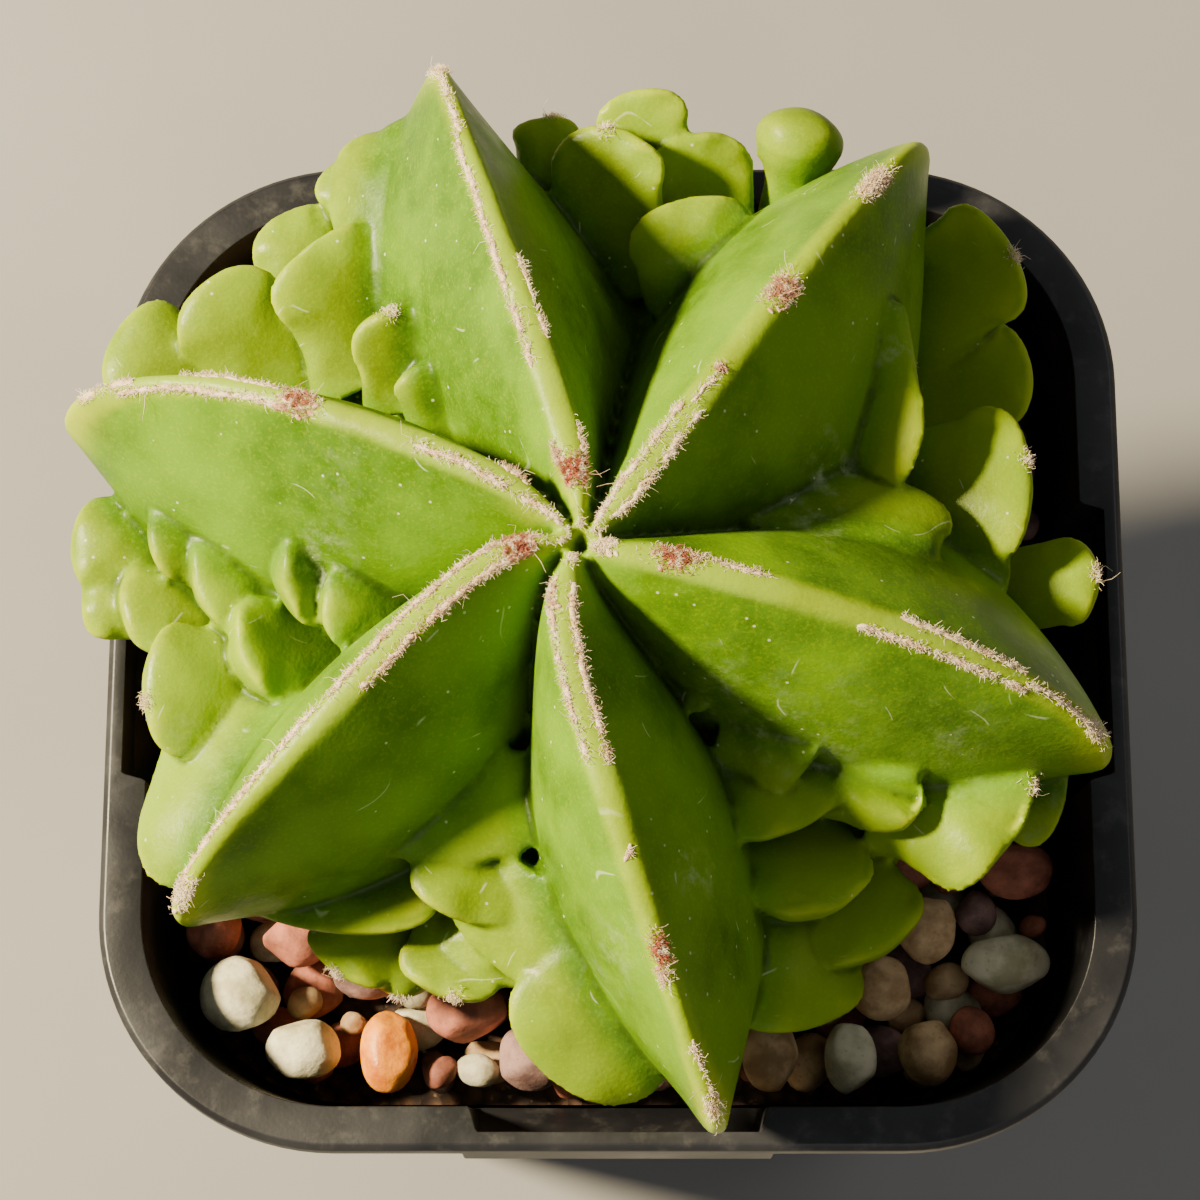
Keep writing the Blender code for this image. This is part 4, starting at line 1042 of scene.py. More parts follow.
@dataclass
class CactusBody:
    """The plant: ribs, lobes and root neck as one smooth skin.

    Fields from look_in on say how the skin is measured for its finish.
    """

    form: PlantForm
    skirt: Skirt = field(default_factory=Skirt)
    seed_step: int = 7
    columns: int = 40
    rows: int = 180
    first_station: float = 0.012
    station_power: float = 1.15
    weld: float = 0.0005
    voxel: float = 0.37
    soften: int = 3
    triangles: int = 185_000
    look_in: float = 0.05
    thickest: float = 9.0
    thickness_rounds: int = 3
    ease_rounds: int = 14
    proud: tuple[float, float] = (0.7, 3.2)
    rib_rims: float = 0.4
    crest_samples: int = 160
    crest_ends: tuple[float, float] = (0.6, 0.1)
    band_edge: tuple[float, float] = (1.5, 0.9)
    tip_start: float = 0.9
    tip_reach: float = 5.0
    areole_places: list[tuple[Vector, Vector]] = field(default_factory=list)

    def build(self, finish: SkinFinish) -> bpy.types.Object:
        """Make the skin, join the lobes to it, soften the creases and dress it.

        Args:
            finish: The skin's finish.

        Returns:
            The finished piece.
        """
        body = self.ribbed_skin()
        tree = surface_of(body)
        maker = LobeMaker(self.form, tree)
        bm = bmesh.new()
        bm.from_mesh(body.data)
        for index, row in enumerate(list(LOBES) + self.skirt.lobes(self.form)):
            absorb(bm, maker.make(row, random.Random(self.skirt.seed + self.seed_step * index)))
        bm.to_mesh(body.data)
        bm.free()
        self.areole_places = maker.areole_places
        self.fuse(body)
        self.measure_flesh(body, tree)
        self.measure_crests(body.data)
        self.measure_dust(body.data)
        dress(body.data, finish.make())
        return complete(body, ["cactus_body"])

    def ribbed_skin(self) -> bpy.types.Object:
        """Return the ribs, furrows and root neck as one closed skin, shaped from a grid."""
        count = len(self.form.ribs)
        bm = bmesh.new()
        bmesh.ops.create_grid(bm, x_segments=self.columns * count, y_segments=self.rows, size=1.0)
        for vert in bm.verts:
            around = (vert.co.x + 1.0) / 2.0 * count
            rib = min(count - 1, int(around + 1e-6))
            # Columns crowd towards the crests and the furrow's floor.
            if around - rib > 0.5:
                half = 1.0 - math.cos((around - rib - 0.5) * 2.0 * math.pi)
                t = 1.0 + half / 2.0
            else:
                t = (1.0 - math.cos((around - rib) * 2.0 * math.pi)) / 2.0
            s = mix(self.first_station, 3.0, ((vert.co.y + 1.0) / 2.0) ** self.station_power)
            vert.co = self.form.skin(rib, s, min(2.0, max(0.0, t)))
        bmesh.ops.remove_doubles(bm, verts=bm.verts, dist=self.weld)
        rims = [edge for edge in bm.edges if edge.is_boundary]
        bmesh.ops.holes_fill(bm, edges=rims, sides=0)
        return object_from_bmesh("cactus_skin", bm)

    def fuse(self, body: bpy.types.Object) -> None:
        """Make the ribs and lobes one skin, with softened creases and an even mesh."""
        remesh = body.modifiers.new("fuse", "REMESH")
        remesh.mode = "VOXEL"
        remesh.voxel_size = self.voxel
        soften = body.modifiers.new("soften", "SMOOTH")
        soften.factor = 0.5
        soften.iterations = self.soften
        bake_modifiers(body)
        now = sum(len(face.vertices) - 2 for face in body.data.polygons)
        if now > self.triangles:
            thin = body.modifiers.new("thin", "DECIMATE")
            thin.ratio = self.triangles / now
            bake_modifiers(body)

    def measure_flesh(self, body: bpy.types.Object, ribbed: BVHTree) -> None:
        """Store how thick the flesh is, where it is a lobe, and how it bends.

        Args:
            body: The fused skin.
            ribbed: The ribbed skin without its lobes.
        """
        mesh = body.data
        tree = surface_of(body)
        places, normals = vertex_rows(mesh), vertex_rows(mesh, "normal")
        thickness = []
        for place, normal in zip(places, normals):
            inward = -Vector(normal)
            hit = tree.ray_cast(Vector(place) + inward * self.look_in, inward, self.thickest)
            thickness.append(hit[3] if hit[0] is not None else self.thickest)
        thick = np.array(thickness, dtype=np.float32)
        for _ in range(self.thickness_rounds):
            thick = spread(mesh, thick)
        # The skin's finish paints a yellow-green glow, for light through the flesh, where this is small.
        set_attribute(mesh, "thickness", thick)
        eased = places.copy()
        for _ in range(self.ease_rounds):
            eased = np.stack([spread(mesh, eased[:, axis]) for axis in range(3)], axis=1)
        low, high = self.proud
        height = np.array([ribbed.find_nearest(place)[3] for place in places])
        lobes = np.clip((height - low) / (high - low), 0.0, 1.0)
        set_attribute(mesh, "lobe", lobes)
        # Rims stand out of the eased skin and creases lie under it. Rims of ribs count for less.
        bend = ((places - eased) * normals).sum(axis=1)
        rims = bend * (self.rib_rims + (1.0 - self.rib_rims) * lobes)
        # The finish paints a glow on rims and shade in creases from this bend.
        set_attribute(mesh, "bend", np.where(bend > 0.0, rims, bend))

    def measure_crests(self, mesh: bpy.types.Mesh) -> None:
        """Store how near the skin is to a crest, to its pale band and to a rib's tip."""
        crests = KDTree(len(self.form.ribs) * self.crest_samples)
        reaches, pale = [], []
        first, last = self.crest_ends
        for rib, row in enumerate(self.form.ribs):
            for i in range(self.crest_samples):
                reach = first + (row.reach - first - last) * i / (self.crest_samples - 1)
                crests.insert(self.form.crest_path(rib, reach), len(reaches))
                reaches.append(reach / row.reach)
                pale.append(max(band.strength(reach) for band in PALE_BANDS if band.rib == rib))
        crests.balance()
        found = [crests.find(place) for place in vertex_rows(mesh)]
        distance = np.array([item[2] for item in found])
        along = np.array([reaches[item[1]] for item in found])
        banded = np.array([pale[item[1]] for item in found])
        outer, inner = self.band_edge
        set_attribute(mesh, "band", banded * np.clip((outer - distance) / (outer - inner), 0.0, 1.0))
        # The finish paints a yellow-green glow, for light through thin flesh, near crests and at rib tips
        # from these two.
        set_attribute(mesh, "crest", distance)
        at_tip = np.clip((along - self.tip_start) / (1.0 - self.tip_start), 0, 1)
        set_attribute(mesh, "tip", at_tip * np.clip(1.0 - distance / self.tip_reach, 0, 1))

    def measure_dust(self, mesh: bpy.types.Mesh) -> None:
        """Store how dusty the skin is."""
        places = vertex_rows(mesh)
        dust = np.zeros(len(places))
        for patch in DUST_PATCHES:
            centre = self.form.at(patch.reach, patch.azimuth, 0.0)
            away = np.hypot(places[:, 0] - centre.x, places[:, 1] - centre.y)
            dust = np.maximum(dust, patch.strength * np.exp(-(away / patch.size) ** 2))
        set_attribute(mesh, "dust", dust)


# ---- Felt ----


@dataclass(frozen=True)
class FeltRun:
    """One woolly line beside a crest: rib, side, start and end reach, half width and rust."""

    rib: int
    side: float
    start: float
    end: float
    half_width: float = 0.5
    rust: float = 0.06


@dataclass(frozen=True)
class FeltPatch:
    """One tuft on a crest: rib, distance across it, reach, half length, half width and rust."""

    rib: int
    across: float
    reach: float
    half_length: float
    half_width: float
    rust: float = 0.9


FELT_RUNS = (
    FeltRun(0, 0.9, 8.4, 15.0, 0.4, 0.25),
    FeltRun(0, 1.0, 25.0, 35.5),
    FeltRun(0, -1.05, 22.0, 36.0),
    FeltRun(0, 0.0, 35.5, 41.5, 0.4, 0.05),
    FeltRun(1, 0.9, 1.8, 14.0, 0.52),
    FeltRun(1, -0.9, 3.0, 14.0, 0.52),
    FeltRun(1, 0.0, 14.0, 17.0, 0.3),
    FeltRun(2, 1.0, 14.5, 38.0, 0.46),
    FeltRun(2, -1.1, 16.6, 24.5, 0.38),
    FeltRun(2, 0.3, 37.0, 45.0, 0.4, 0.0),
    FeltRun(3, 0.3, 1.8, 15.6, 0.46),
    FeltRun(3, 0.95, 25.5, 40.0, 0.5),
    FeltRun(3, -0.9, 26.0, 35.0, 0.3, 0.05),
    FeltRun(3, 0.0, 38.5, 43.0, 0.6, 0.0),
    FeltRun(4, -0.95, 2.6, 39.0, 0.5),
    FeltRun(4, 0.95, 3.4, 20.5, 0.54, 0.35),
    FeltRun(5, -0.9, 3.6, 17.4, 0.46),
    FeltRun(5, 0.9, 3.4, 17.6, 0.5, 0.2),
    FeltRun(5, 0.2, 38.0, 42.0, 0.36, 0.05),
)

FELT_PATCHES = (
    FeltPatch(0, 0.3, 1.9, 0.9, 1.0, 0.0),
    FeltPatch(0, 0.4, 7.4, 1.8, 1.1, 0.95),
    FeltPatch(0, 0.0, 42.0, 0.9, 0.9, 0.1),
    FeltPatch(1, 0.1, 17.6, 0.6, 0.5, 0.8),
    FeltPatch(1, 0.2, 26.2, 1.6, 1.4, 0.8),
    FeltPatch(1, 0.0, 39.5, 2.0, 1.2, 0.3),
    FeltPatch(2, 0.0, 5.6, 1.4, 1.6, 1.0),
    FeltPatch(2, 1.5, 7.0, 1.3, 0.6, 0.5),
    FeltPatch(2, -1.5, 7.6, 1.4, 0.4, 0.3),
    FeltPatch(2, 0.0, 45.5, 0.9, 1.0, 0.0),
    FeltPatch(3, -1.6, 7.2, 1.4, 0.5, 0.3),
    FeltPatch(3, 0.0, 24.8, 1.6, 1.3, 0.9),
    FeltPatch(4, 0.0, 4.8, 1.5, 1.2, 0.95),
    FeltPatch(4, 0.0, 39.4, 1.2, 1.3, 0.0),
    FeltPatch(5, -1.1, 4.6, 1.5, 0.5, 0.3),
    FeltPatch(5, 0.1, 24.2, 0.35, 0.35, 0.1),
    FeltPatch(5, 0.1, 31.4, 1.5, 0.8, 1.0),
    FeltPatch(5, -0.4, 33.2, 0.8, 0.6, 0.0),
    FeltPatch(5, 0.0, 42.6, 0.9, 0.8, 0.0),
)


@dataclass
class AreoleWool:
    """All the plant's wool: short curled hairs over a thin mat, on crests, crown and lobes."""

    form: PlantForm
    skin: BVHTree
    hair_half: float = 0.024
    hair_taper: tuple[float, float, float] = (1.0, 0.9, 0.4)
    hair_sink: float = 0.08
    hair_droop: tuple[float, float] = (-0.8, 0.3)
    hair_curl: float = 0.7
    hair_keep: float = 0.25
    hair_end: float = 0.55
    hair_length: tuple[float, float] = (0.3, 0.75)
    hairs_per_area: float = 62.0
    long_hair: tuple[float, float] = (1.0, 2.4)
    long_share: float = 0.012
    mat_step: float = 0.35
    mat_half: float = 0.26
    mat_lumps: tuple[float, float] = (0.55, 1.2)
    mat_end: float = 0.5
    mat_sink: float = 0.3
    mat_colour: float = 0.9
    mat_least: float = 0.55
    usual_half: float = 0.45
    fade_rate: float = 8.0
    fade_least: float = 0.3
    wool_mean: float = 0.78
    wool_swing: float = 0.9
    wool_course: tuple[float, float, float] = (0.55, 3.0, 7.0)
    wander: float = 0.3
    crowd: float = 4.0
    patch_cords: float = 9.0
    cord_step: float = 0.3
    patch_density: float = 1.15
    patch_least: int = 30
    least_reach: float = 0.3
    rust_steps: int = 6
    rust_radius: float = 2.5
    rust_spread: float = 1.6
    crown_hairs: int = 420
    crown_spread: float = 0.8
    lobe_hairs: int = 110
    lobe_spread: float = 0.4
    seed: int = 41

    def seat(self, point: Vector) -> tuple[Vector, Vector]:
        """Return the nearest point of the skin and its normal."""
        place, normal, _, _ = self.skin.find_nearest(point)
        return place, normal

    def hair(self, curve: bpy.types.Curve, root: Vector, lean: Vector, length: float,
             draw: random.Random) -> None:
        """Add one curled hair to a curve.

        Args:
            curve: The curve that holds a piece's hairs.
            root: The hair's root on the skin.
            lean: The direction in which it starts.
            length: Its length.
            draw: Source of its curl.
        """
        strand = curve.splines.new("POLY")
        strand.points.add(2)
        bend = Vector((draw.uniform(-1, 1), draw.uniform(-1, 1), draw.uniform(*self.hair_droop)))
        middle = root + lean * length * 0.5
        end = middle + (lean * self.hair_keep + bend * self.hair_curl) * length * self.hair_end
        stations = (root - lean * self.hair_sink, middle, end)
        for point, place, radius in zip(strand.points, stations, self.hair_taper):
            point.co = (*place, 1.0)
            point.radius = radius

    def mat(self, curve: bpy.types.Curve, spots: list[Vector], half: float, draw: random.Random) -> None:
        """Add one lumpy cord of matted wool, half sunk in the skin.

        Args:
            curve: The curve that holds a piece's mats.
            spots: Places along the cord.
            half: Half its width.
            draw: Source of its lumps.
        """
        if len(spots) < 2:
            return
        cord = curve.splines.new("POLY")
        cord.points.add(len(spots) - 1)
        for i, (point, spot) in enumerate(zip(cord.points, spots)):
            place, normal = self.seat(spot)
            size = half * draw.uniform(*self.mat_lumps) * (self.mat_end if i in (0, len(spots) - 1) else 1.0)
            point.co = (*(place - normal * size * self.mat_sink), 1.0)
            point.radius = size

    def patchy(self, rib: int, side: float, reach: float) -> float:
        """Return how thick the wool stands at a place on a line, about 0.3 to 1.2."""
        along, across, apart = self.wool_course
        place = Vector((reach * along, side * across, rib * apart))
        return self.wool_mean + self.wool_swing * noise.noise(place)

    def line_place(self, run: FeltRun, reach: float, off: float) -> Vector:
        """Return a place on a woolly line, which wanders a little beside its crest."""
        wander = self.wander * noise.noise(Vector((reach * 0.3, run.rib * 5.0, run.side)))
        return self.form.crest_path(run.rib, reach, run.side * min(1.0, reach / self.crowd) + wander + off)

    def run_mats(self, curve: bpy.types.Curve, run: FeltRun, draw: random.Random) -> None:
        """Add the mat under one woolly line, broken where the wool is thin."""
        half = self.mat_half * run.half_width / self.usual_half
        spots: list[Vector] = []
        for i in range(int((run.end - run.start) / self.mat_step) + 1):
            reach = run.start + i * self.mat_step
            if self.patchy(run.rib, run.side, reach) < self.mat_least:
                self.mat(curve, spots, half, draw)
                spots = []
                continue
            spots.append(self.line_place(run, reach, draw.gauss(0.0, 0.08)))
        self.mat(curve, spots, half, draw)

    def patch_mats(self, curve: bpy.types.Curve, patch: FeltPatch, draw: random.Random) -> None:
        """Add the mat under one tuft as a few crossing cords."""
        for _ in range(max(3, int(self.patch_cords * patch.half_length * patch.half_width))):
            spots = []
            reach = patch.reach + draw.gauss(0.0, 0.45) * patch.half_length
            across = patch.across + draw.gauss(0.0, 0.45) * patch.half_width
            turn = draw.uniform(0.0, math.tau)
            for i in range(3):
                further = reach + self.cord_step * i * math.cos(turn)
                spots.append(self.form.crest_path(patch.rib, max(self.least_reach, further),
                                                  across + self.cord_step * i * math.sin(turn)))
            self.mat(curve, spots, self.mat_half, draw)

    def tuft(self, curve: bpy.types.Curve, spots: Iterable[Vector], draw: random.Random,
             upright: float = 0.7) -> None:
        """Add a hair at each spot, rooted on the skin and leaning at random."""
        for spot in spots:
            root, normal = self.seat(spot)
            sideways = Vector((draw.uniform(-1, 1), draw.uniform(-1, 1), draw.uniform(-1, 1)))
            lean = (normal * upright + sideways * 0.9).normalized()
            span = self.long_hair if draw.random() < self.long_share else self.hair_length
            self.hair(curve, root, lean, draw.uniform(*span), draw)

    def run_spots(self, run: FeltRun, draw: random.Random) -> Iterable[Vector]:
        """Yield hair roots along one woolly line, thinner at its ends and in gaps."""
        count = int((run.end - run.start) * 2.0 * run.half_width * self.hairs_per_area)
        for _ in range(count):
            share = draw.random()
            reach = mix(run.start, run.end, share)
            near_end = min(share, 1.0 - share)
            fade = min(1.0, self.fade_rate * near_end + self.fade_least)
            if draw.random() > fade * self.patchy(run.rib, run.side, reach):
                continue
            yield self.line_place(run, reach, draw.gauss(0.0, 0.5) * run.half_width)

    def patch_spots(self, patch: FeltPatch, draw: random.Random) -> Iterable[Vector]:
        """Yield hair roots in one tuft."""
        area = 4.0 * patch.half_length * patch.half_width
        count = int(area * self.hairs_per_area * self.patch_density)
        for _ in range(max(self.patch_least, count)):
            reach = patch.reach + draw.gauss(0.0, 0.5) * patch.half_length
            across = patch.across + draw.gauss(0.0, 0.5) * patch.half_width
            yield self.form.crest_path(patch.rib, max(self.least_reach, reach), across)

    def new_curve(self, name: str, half: float, rounding: int) -> bpy.types.Curve:
        """Return an empty curve whose strands come out as closed tubes."""
        curve = bpy.data.curves.new(name, "CURVE")
        curve.dimensions = "3D"
        curve.bevel_depth = half
        curve.bevel_resolution = rounding
        curve.use_fill_caps = True
        return curve

    def tubes(self, curve: bpy.types.Curve) -> bpy.types.Mesh:
        """Return a curve's tubes as a mesh."""
        strands = bpy.data.objects.new(curve.name, curve)
        bpy.context.scene.collection.objects.link(strands)
        mesh = evaluated_mesh(strands)
        bpy.data.objects.remove(strands, do_unlink=True)
        return mesh

    def piece(self, name: str, hairs: bpy.types.Curve, mats: bpy.types.Curve | None, node: list[str],
              finish: bpy.types.Material, rusts: list[tuple[Vector, float, float]]) -> bpy.types.Object:
        """Turn hairs and mats to a finished piece, with its rusty places and shades stored.

        Args:
            name: The piece's name.
            hairs: The hairs.
            mats: The matted wool under them, if there is any.
            node: CAD nodes that the piece replaces.
            finish: The wool material.
            rusts: Centre, radius and strength of each rusty place.

        Returns:
            The finished piece.
        """
        draw = np.random.default_rng(self.seed)
        count = len(hairs.splines)
        bm = bmesh.new()
        fine = self.tubes(hairs)
        bm.from_mesh(fine)
        shades = [np.repeat(draw.uniform(0.0, 0.8, count), len(fine.vertices) // count)]
        if mats is not None and len(mats.splines):
            coarse = self.tubes(mats)
            bm.from_mesh(coarse)
            shades.append(np.full(len(coarse.vertices), self.mat_colour))
        mesh = bpy.data.meshes.new(name)
        bm.to_mesh(mesh)
        bm.free()
        places = vertex_rows(mesh)
        rust = np.zeros(len(places))
        for centre, radius, strength in rusts:
            away = np.linalg.norm(places - np.array(centre), axis=1)
            rust = np.maximum(rust, strength * np.clip(self.rust_spread - away / radius, 0.0, 1.0))
        set_attribute(mesh, "rust", rust)
        set_attribute(mesh, "shade", np.concatenate(shades))
        dress(mesh, finish)
        return complete(object_from(name, mesh), node)

    def build(self, finish: FeltFinish, areoles: list[tuple[Vector, Vector]]) -> list[bpy.types.Object]:
        """Make the wool of each rib, of the crown and of the lobes.

        Args:
            finish: The wool's finish.
            areoles: Place and outward direction of each lobe's areole.

        Returns:
            The finished pieces.
        """
        wool = finish.make()
        pieces = []
        for rib in range(len(self.form.ribs)):
            draw = random.Random(self.seed + rib)
            hairs = self.new_curve(f"wool_{rib + 1}", self.hair_half, 0)
            mats = self.new_curve(f"mat_{rib + 1}", 1.0, 1)
            rusts = []
            for run in (row for row in FELT_RUNS if row.rib == rib):
                self.run_mats(mats, run, draw)
                self.tuft(hairs, self.run_spots(run, draw), draw)
                for i in range(self.rust_steps):
                    reach = mix(run.start, run.end, (i + 0.5) / self.rust_steps)
                    rusts.append((self.form.crest_path(rib, reach, run.side), self.rust_radius, run.rust))
            for patch in (row for row in FELT_PATCHES if row.rib == rib):
                self.patch_mats(mats, patch, draw)
                self.tuft(hairs, self.patch_spots(patch, draw), draw, upright=1.0)
                centre = self.form.crest_path(rib, patch.reach, patch.across)
                rusts.append((centre, max(patch.half_length, patch.half_width), patch.rust))
            pieces.append(self.piece(f"crest_wool_{rib + 1}", hairs, mats, [f"rib_felt_{rib + 1}"], wool,
                                     rusts))
        draw = random.Random(self.seed + 20)
        hairs = self.new_curve("wool_crown", self.hair_half, 0)
        centre = self.form.at(0.0, 0.0, self.form.crown)
        wide = self.crown_spread
        spots = (centre + Vector((draw.gauss(0, wide), draw.gauss(0, wide), 0.0))
                 for _ in range(self.crown_hairs))
        self.tuft(hairs, spots, draw, upright=0.9)
        pieces.append(self.piece("crown_tuft", hairs, None, ["crown_wool"], wool, [(centre, 0.9, 0.5)]))
        hairs = self.new_curve("wool_lobes", self.hair_half, 0)
        for tip, outward in areoles:
            spots = (tip + random_vector(draw, self.lobe_spread) for _ in range(self.lobe_hairs))
            self.tuft(hairs, spots, draw, upright=1.1)
        pieces.append(self.piece("lobe_areoles", hairs, None, [], wool, []))
        return pieces


# ---- Stones, potting mix and pot ----


@dataclass(frozen=True)
class PotForm:
    """The pot's driving sizes, as its CAD solid has them."""

    height: float = 76.0
    rim_half: float = 42.5
    wall: float = 1.3
    base_half: float = 30.5
    top_half: float = 40.3
    base_corner: float = 11.0
    top_corner: float = 17.5
    rim_corner: float = 19.5
    flange: float = 2.2
    floor: float = 1.6
    floor_slope: float = 1.0
    foot: float = 1.4
    pocket_half: float = 12.6
    pocket_step: float = 0.8
    pocket_depth: float = 7.0
    pocket_slope: float = 4.5
    corner_steps: int = 22
    drain_radius: float = 3.2
    drain_corner: float = 17.5
    drain_side: float = 21.0
    groove_width: float = 3.0
    groove_depth: float = 0.6
    groove_past: float = 4.0
    foot_inset: float = 1.2
    rim_round: float = 0.5
    lip: float = 0.4

    def half(self, z: float) -> float:
        """Return half the outer width of the tapering wall at a height."""
        return mix(self.base_half, self.top_half, z / self.height)

    def corner(self, z: float) -> float:
        """Return the radius of the wall's outer corner at a height."""
        return mix(self.base_corner, self.top_corner, z / self.height)

    def keep_inside(self, x: float, y: float, z: float, margin: float) -> bool:
        """Return whether a place lies inside the wall by a margin."""
        half, corner = self.half(z), self.corner(z)
        if max(abs(x), abs(y)) > half - self.wall - margin:
            return False
        over_x, over_y = abs(x) - (half - corner), abs(y) - (half - corner)
        in_corner = over_x > 0.0 and over_y > 0.0
        return not in_corner or math.hypot(over_x, over_y) < corner - self.wall - margin


# A worn stone: how many sides are flattened, how far from its middle, how flat, and its lumps.
STONE_FLATS = 7
FLAT_PLACES = (0.72, 0.92)
FLATNESS = 0.7
STONE_LUMPS = 0.05
LUMPS_ACROSS = 1.7
NOISE_REACH = 90


def worn_stone(subdivisions: int, size: Vector, turn: Matrix, place: Vector,
               draw: random.Random) -> bmesh.types.BMesh:
    """Make one worn stone: a ball with softly flattened sides and an uneven skin.

    Args:
        subdivisions: Fineness of the ball that it starts from.
        size: Half sizes along its own axes.
        turn: Its rotation.
        place: Its centre.
        draw: Source of its shape.

    Returns:
        The stone as a bmesh of its own.
    """
    stone = bmesh.new()
    made = bmesh.ops.create_icosphere(stone, subdivisions=subdivisions, radius=1.0)["verts"]
    flats = []
    for _ in range(STONE_FLATS):
        away = random_vector(draw, 1).normalized()
        flats.append((away, draw.uniform(*FLAT_PLACES)))
    seed = Vector([draw.uniform(0, NOISE_REACH) for _ in range(3)])
    for vert in made:
        for away, limit in flats:
            over = vert.co.dot(away) - limit
            if over > 0.0:
                vert.co -= away * over * FLATNESS
        vert.co *= 1.0 + STONE_LUMPS * noise.noise(vert.co * LUMPS_ACROSS + seed)
    reach = [max(abs(vert.co[axis]) for vert in made) for axis in range(3)]
    for vert in made:
        vert.co = turn @ Vector([vert.co[i] / reach[i] * size[i] for i in range(3)]) + place
    return stone


class StoneKind(Enum):
    """The colours of stone in the top dressing, by the record's slots."""

    CREAM = "cream_stone"
    RED = "red_stone"
    MAUVE = "mauve_stone"
    AMBER = "amber_stone"
    TAN = "tan_stone"


STONE_FINISHES = {
    # Pale limestone pebble: creamy, faintly green where it stays damp.
    StoneKind.CREAM: StoneFinish("limestone_cream_tumbled", "#d9d2b4", "#a39c78"),
    # Fired-clay red sandstone, broken and worn.
    StoneKind.RED: StoneFinish("sandstone_red_broken", "#b06a52", "#74402f", 0.6, 0.7),
    # Mauve-brown porphyry chips.
    StoneKind.MAUVE: StoneFinish("porphyry_mauve_chip", "#94736c", "#5b423d", 0.5, 0.66),
    # Amber quartz pebble: smoother and glossier than the rest.
    StoneKind.AMBER: StoneFinish("quartz_amber_polished", "#ee9612", "#b8620c", 1.2, 0.34),
    # Tan flint and quartzite.
    StoneKind.TAN: StoneFinish("quartzite_tan_tumbled", "#d2b184", "#96744a"),
}

RIVER_KINDS = (
    StoneKind.CREAM, StoneKind.CREAM, StoneKind.AMBER, StoneKind.RED, StoneKind.MAUVE, StoneKind.RED,
    StoneKind.RED, StoneKind.MAUVE, StoneKind.TAN, StoneKind.CREAM, StoneKind.TAN, StoneKind.TAN,
    StoneKind.CREAM, StoneKind.TAN, StoneKind.TAN, StoneKind.RED, StoneKind.TAN, StoneKind.MAUVE,
)


GRAVEL_KINDS = (
    StoneKind.RED, StoneKind.MAUVE, StoneKind.TAN, StoneKind.CREAM, StoneKind.RED, StoneKind.MAUVE,
    StoneKind.TAN,
)


@dataclass(frozen=True)
class GravelLayer:
    """One layer of gravel: height, biggest and smallest radius, how close it packs, and tries."""

    height: float
    biggest: float
    smallest: float
    packing: float
    tries: int


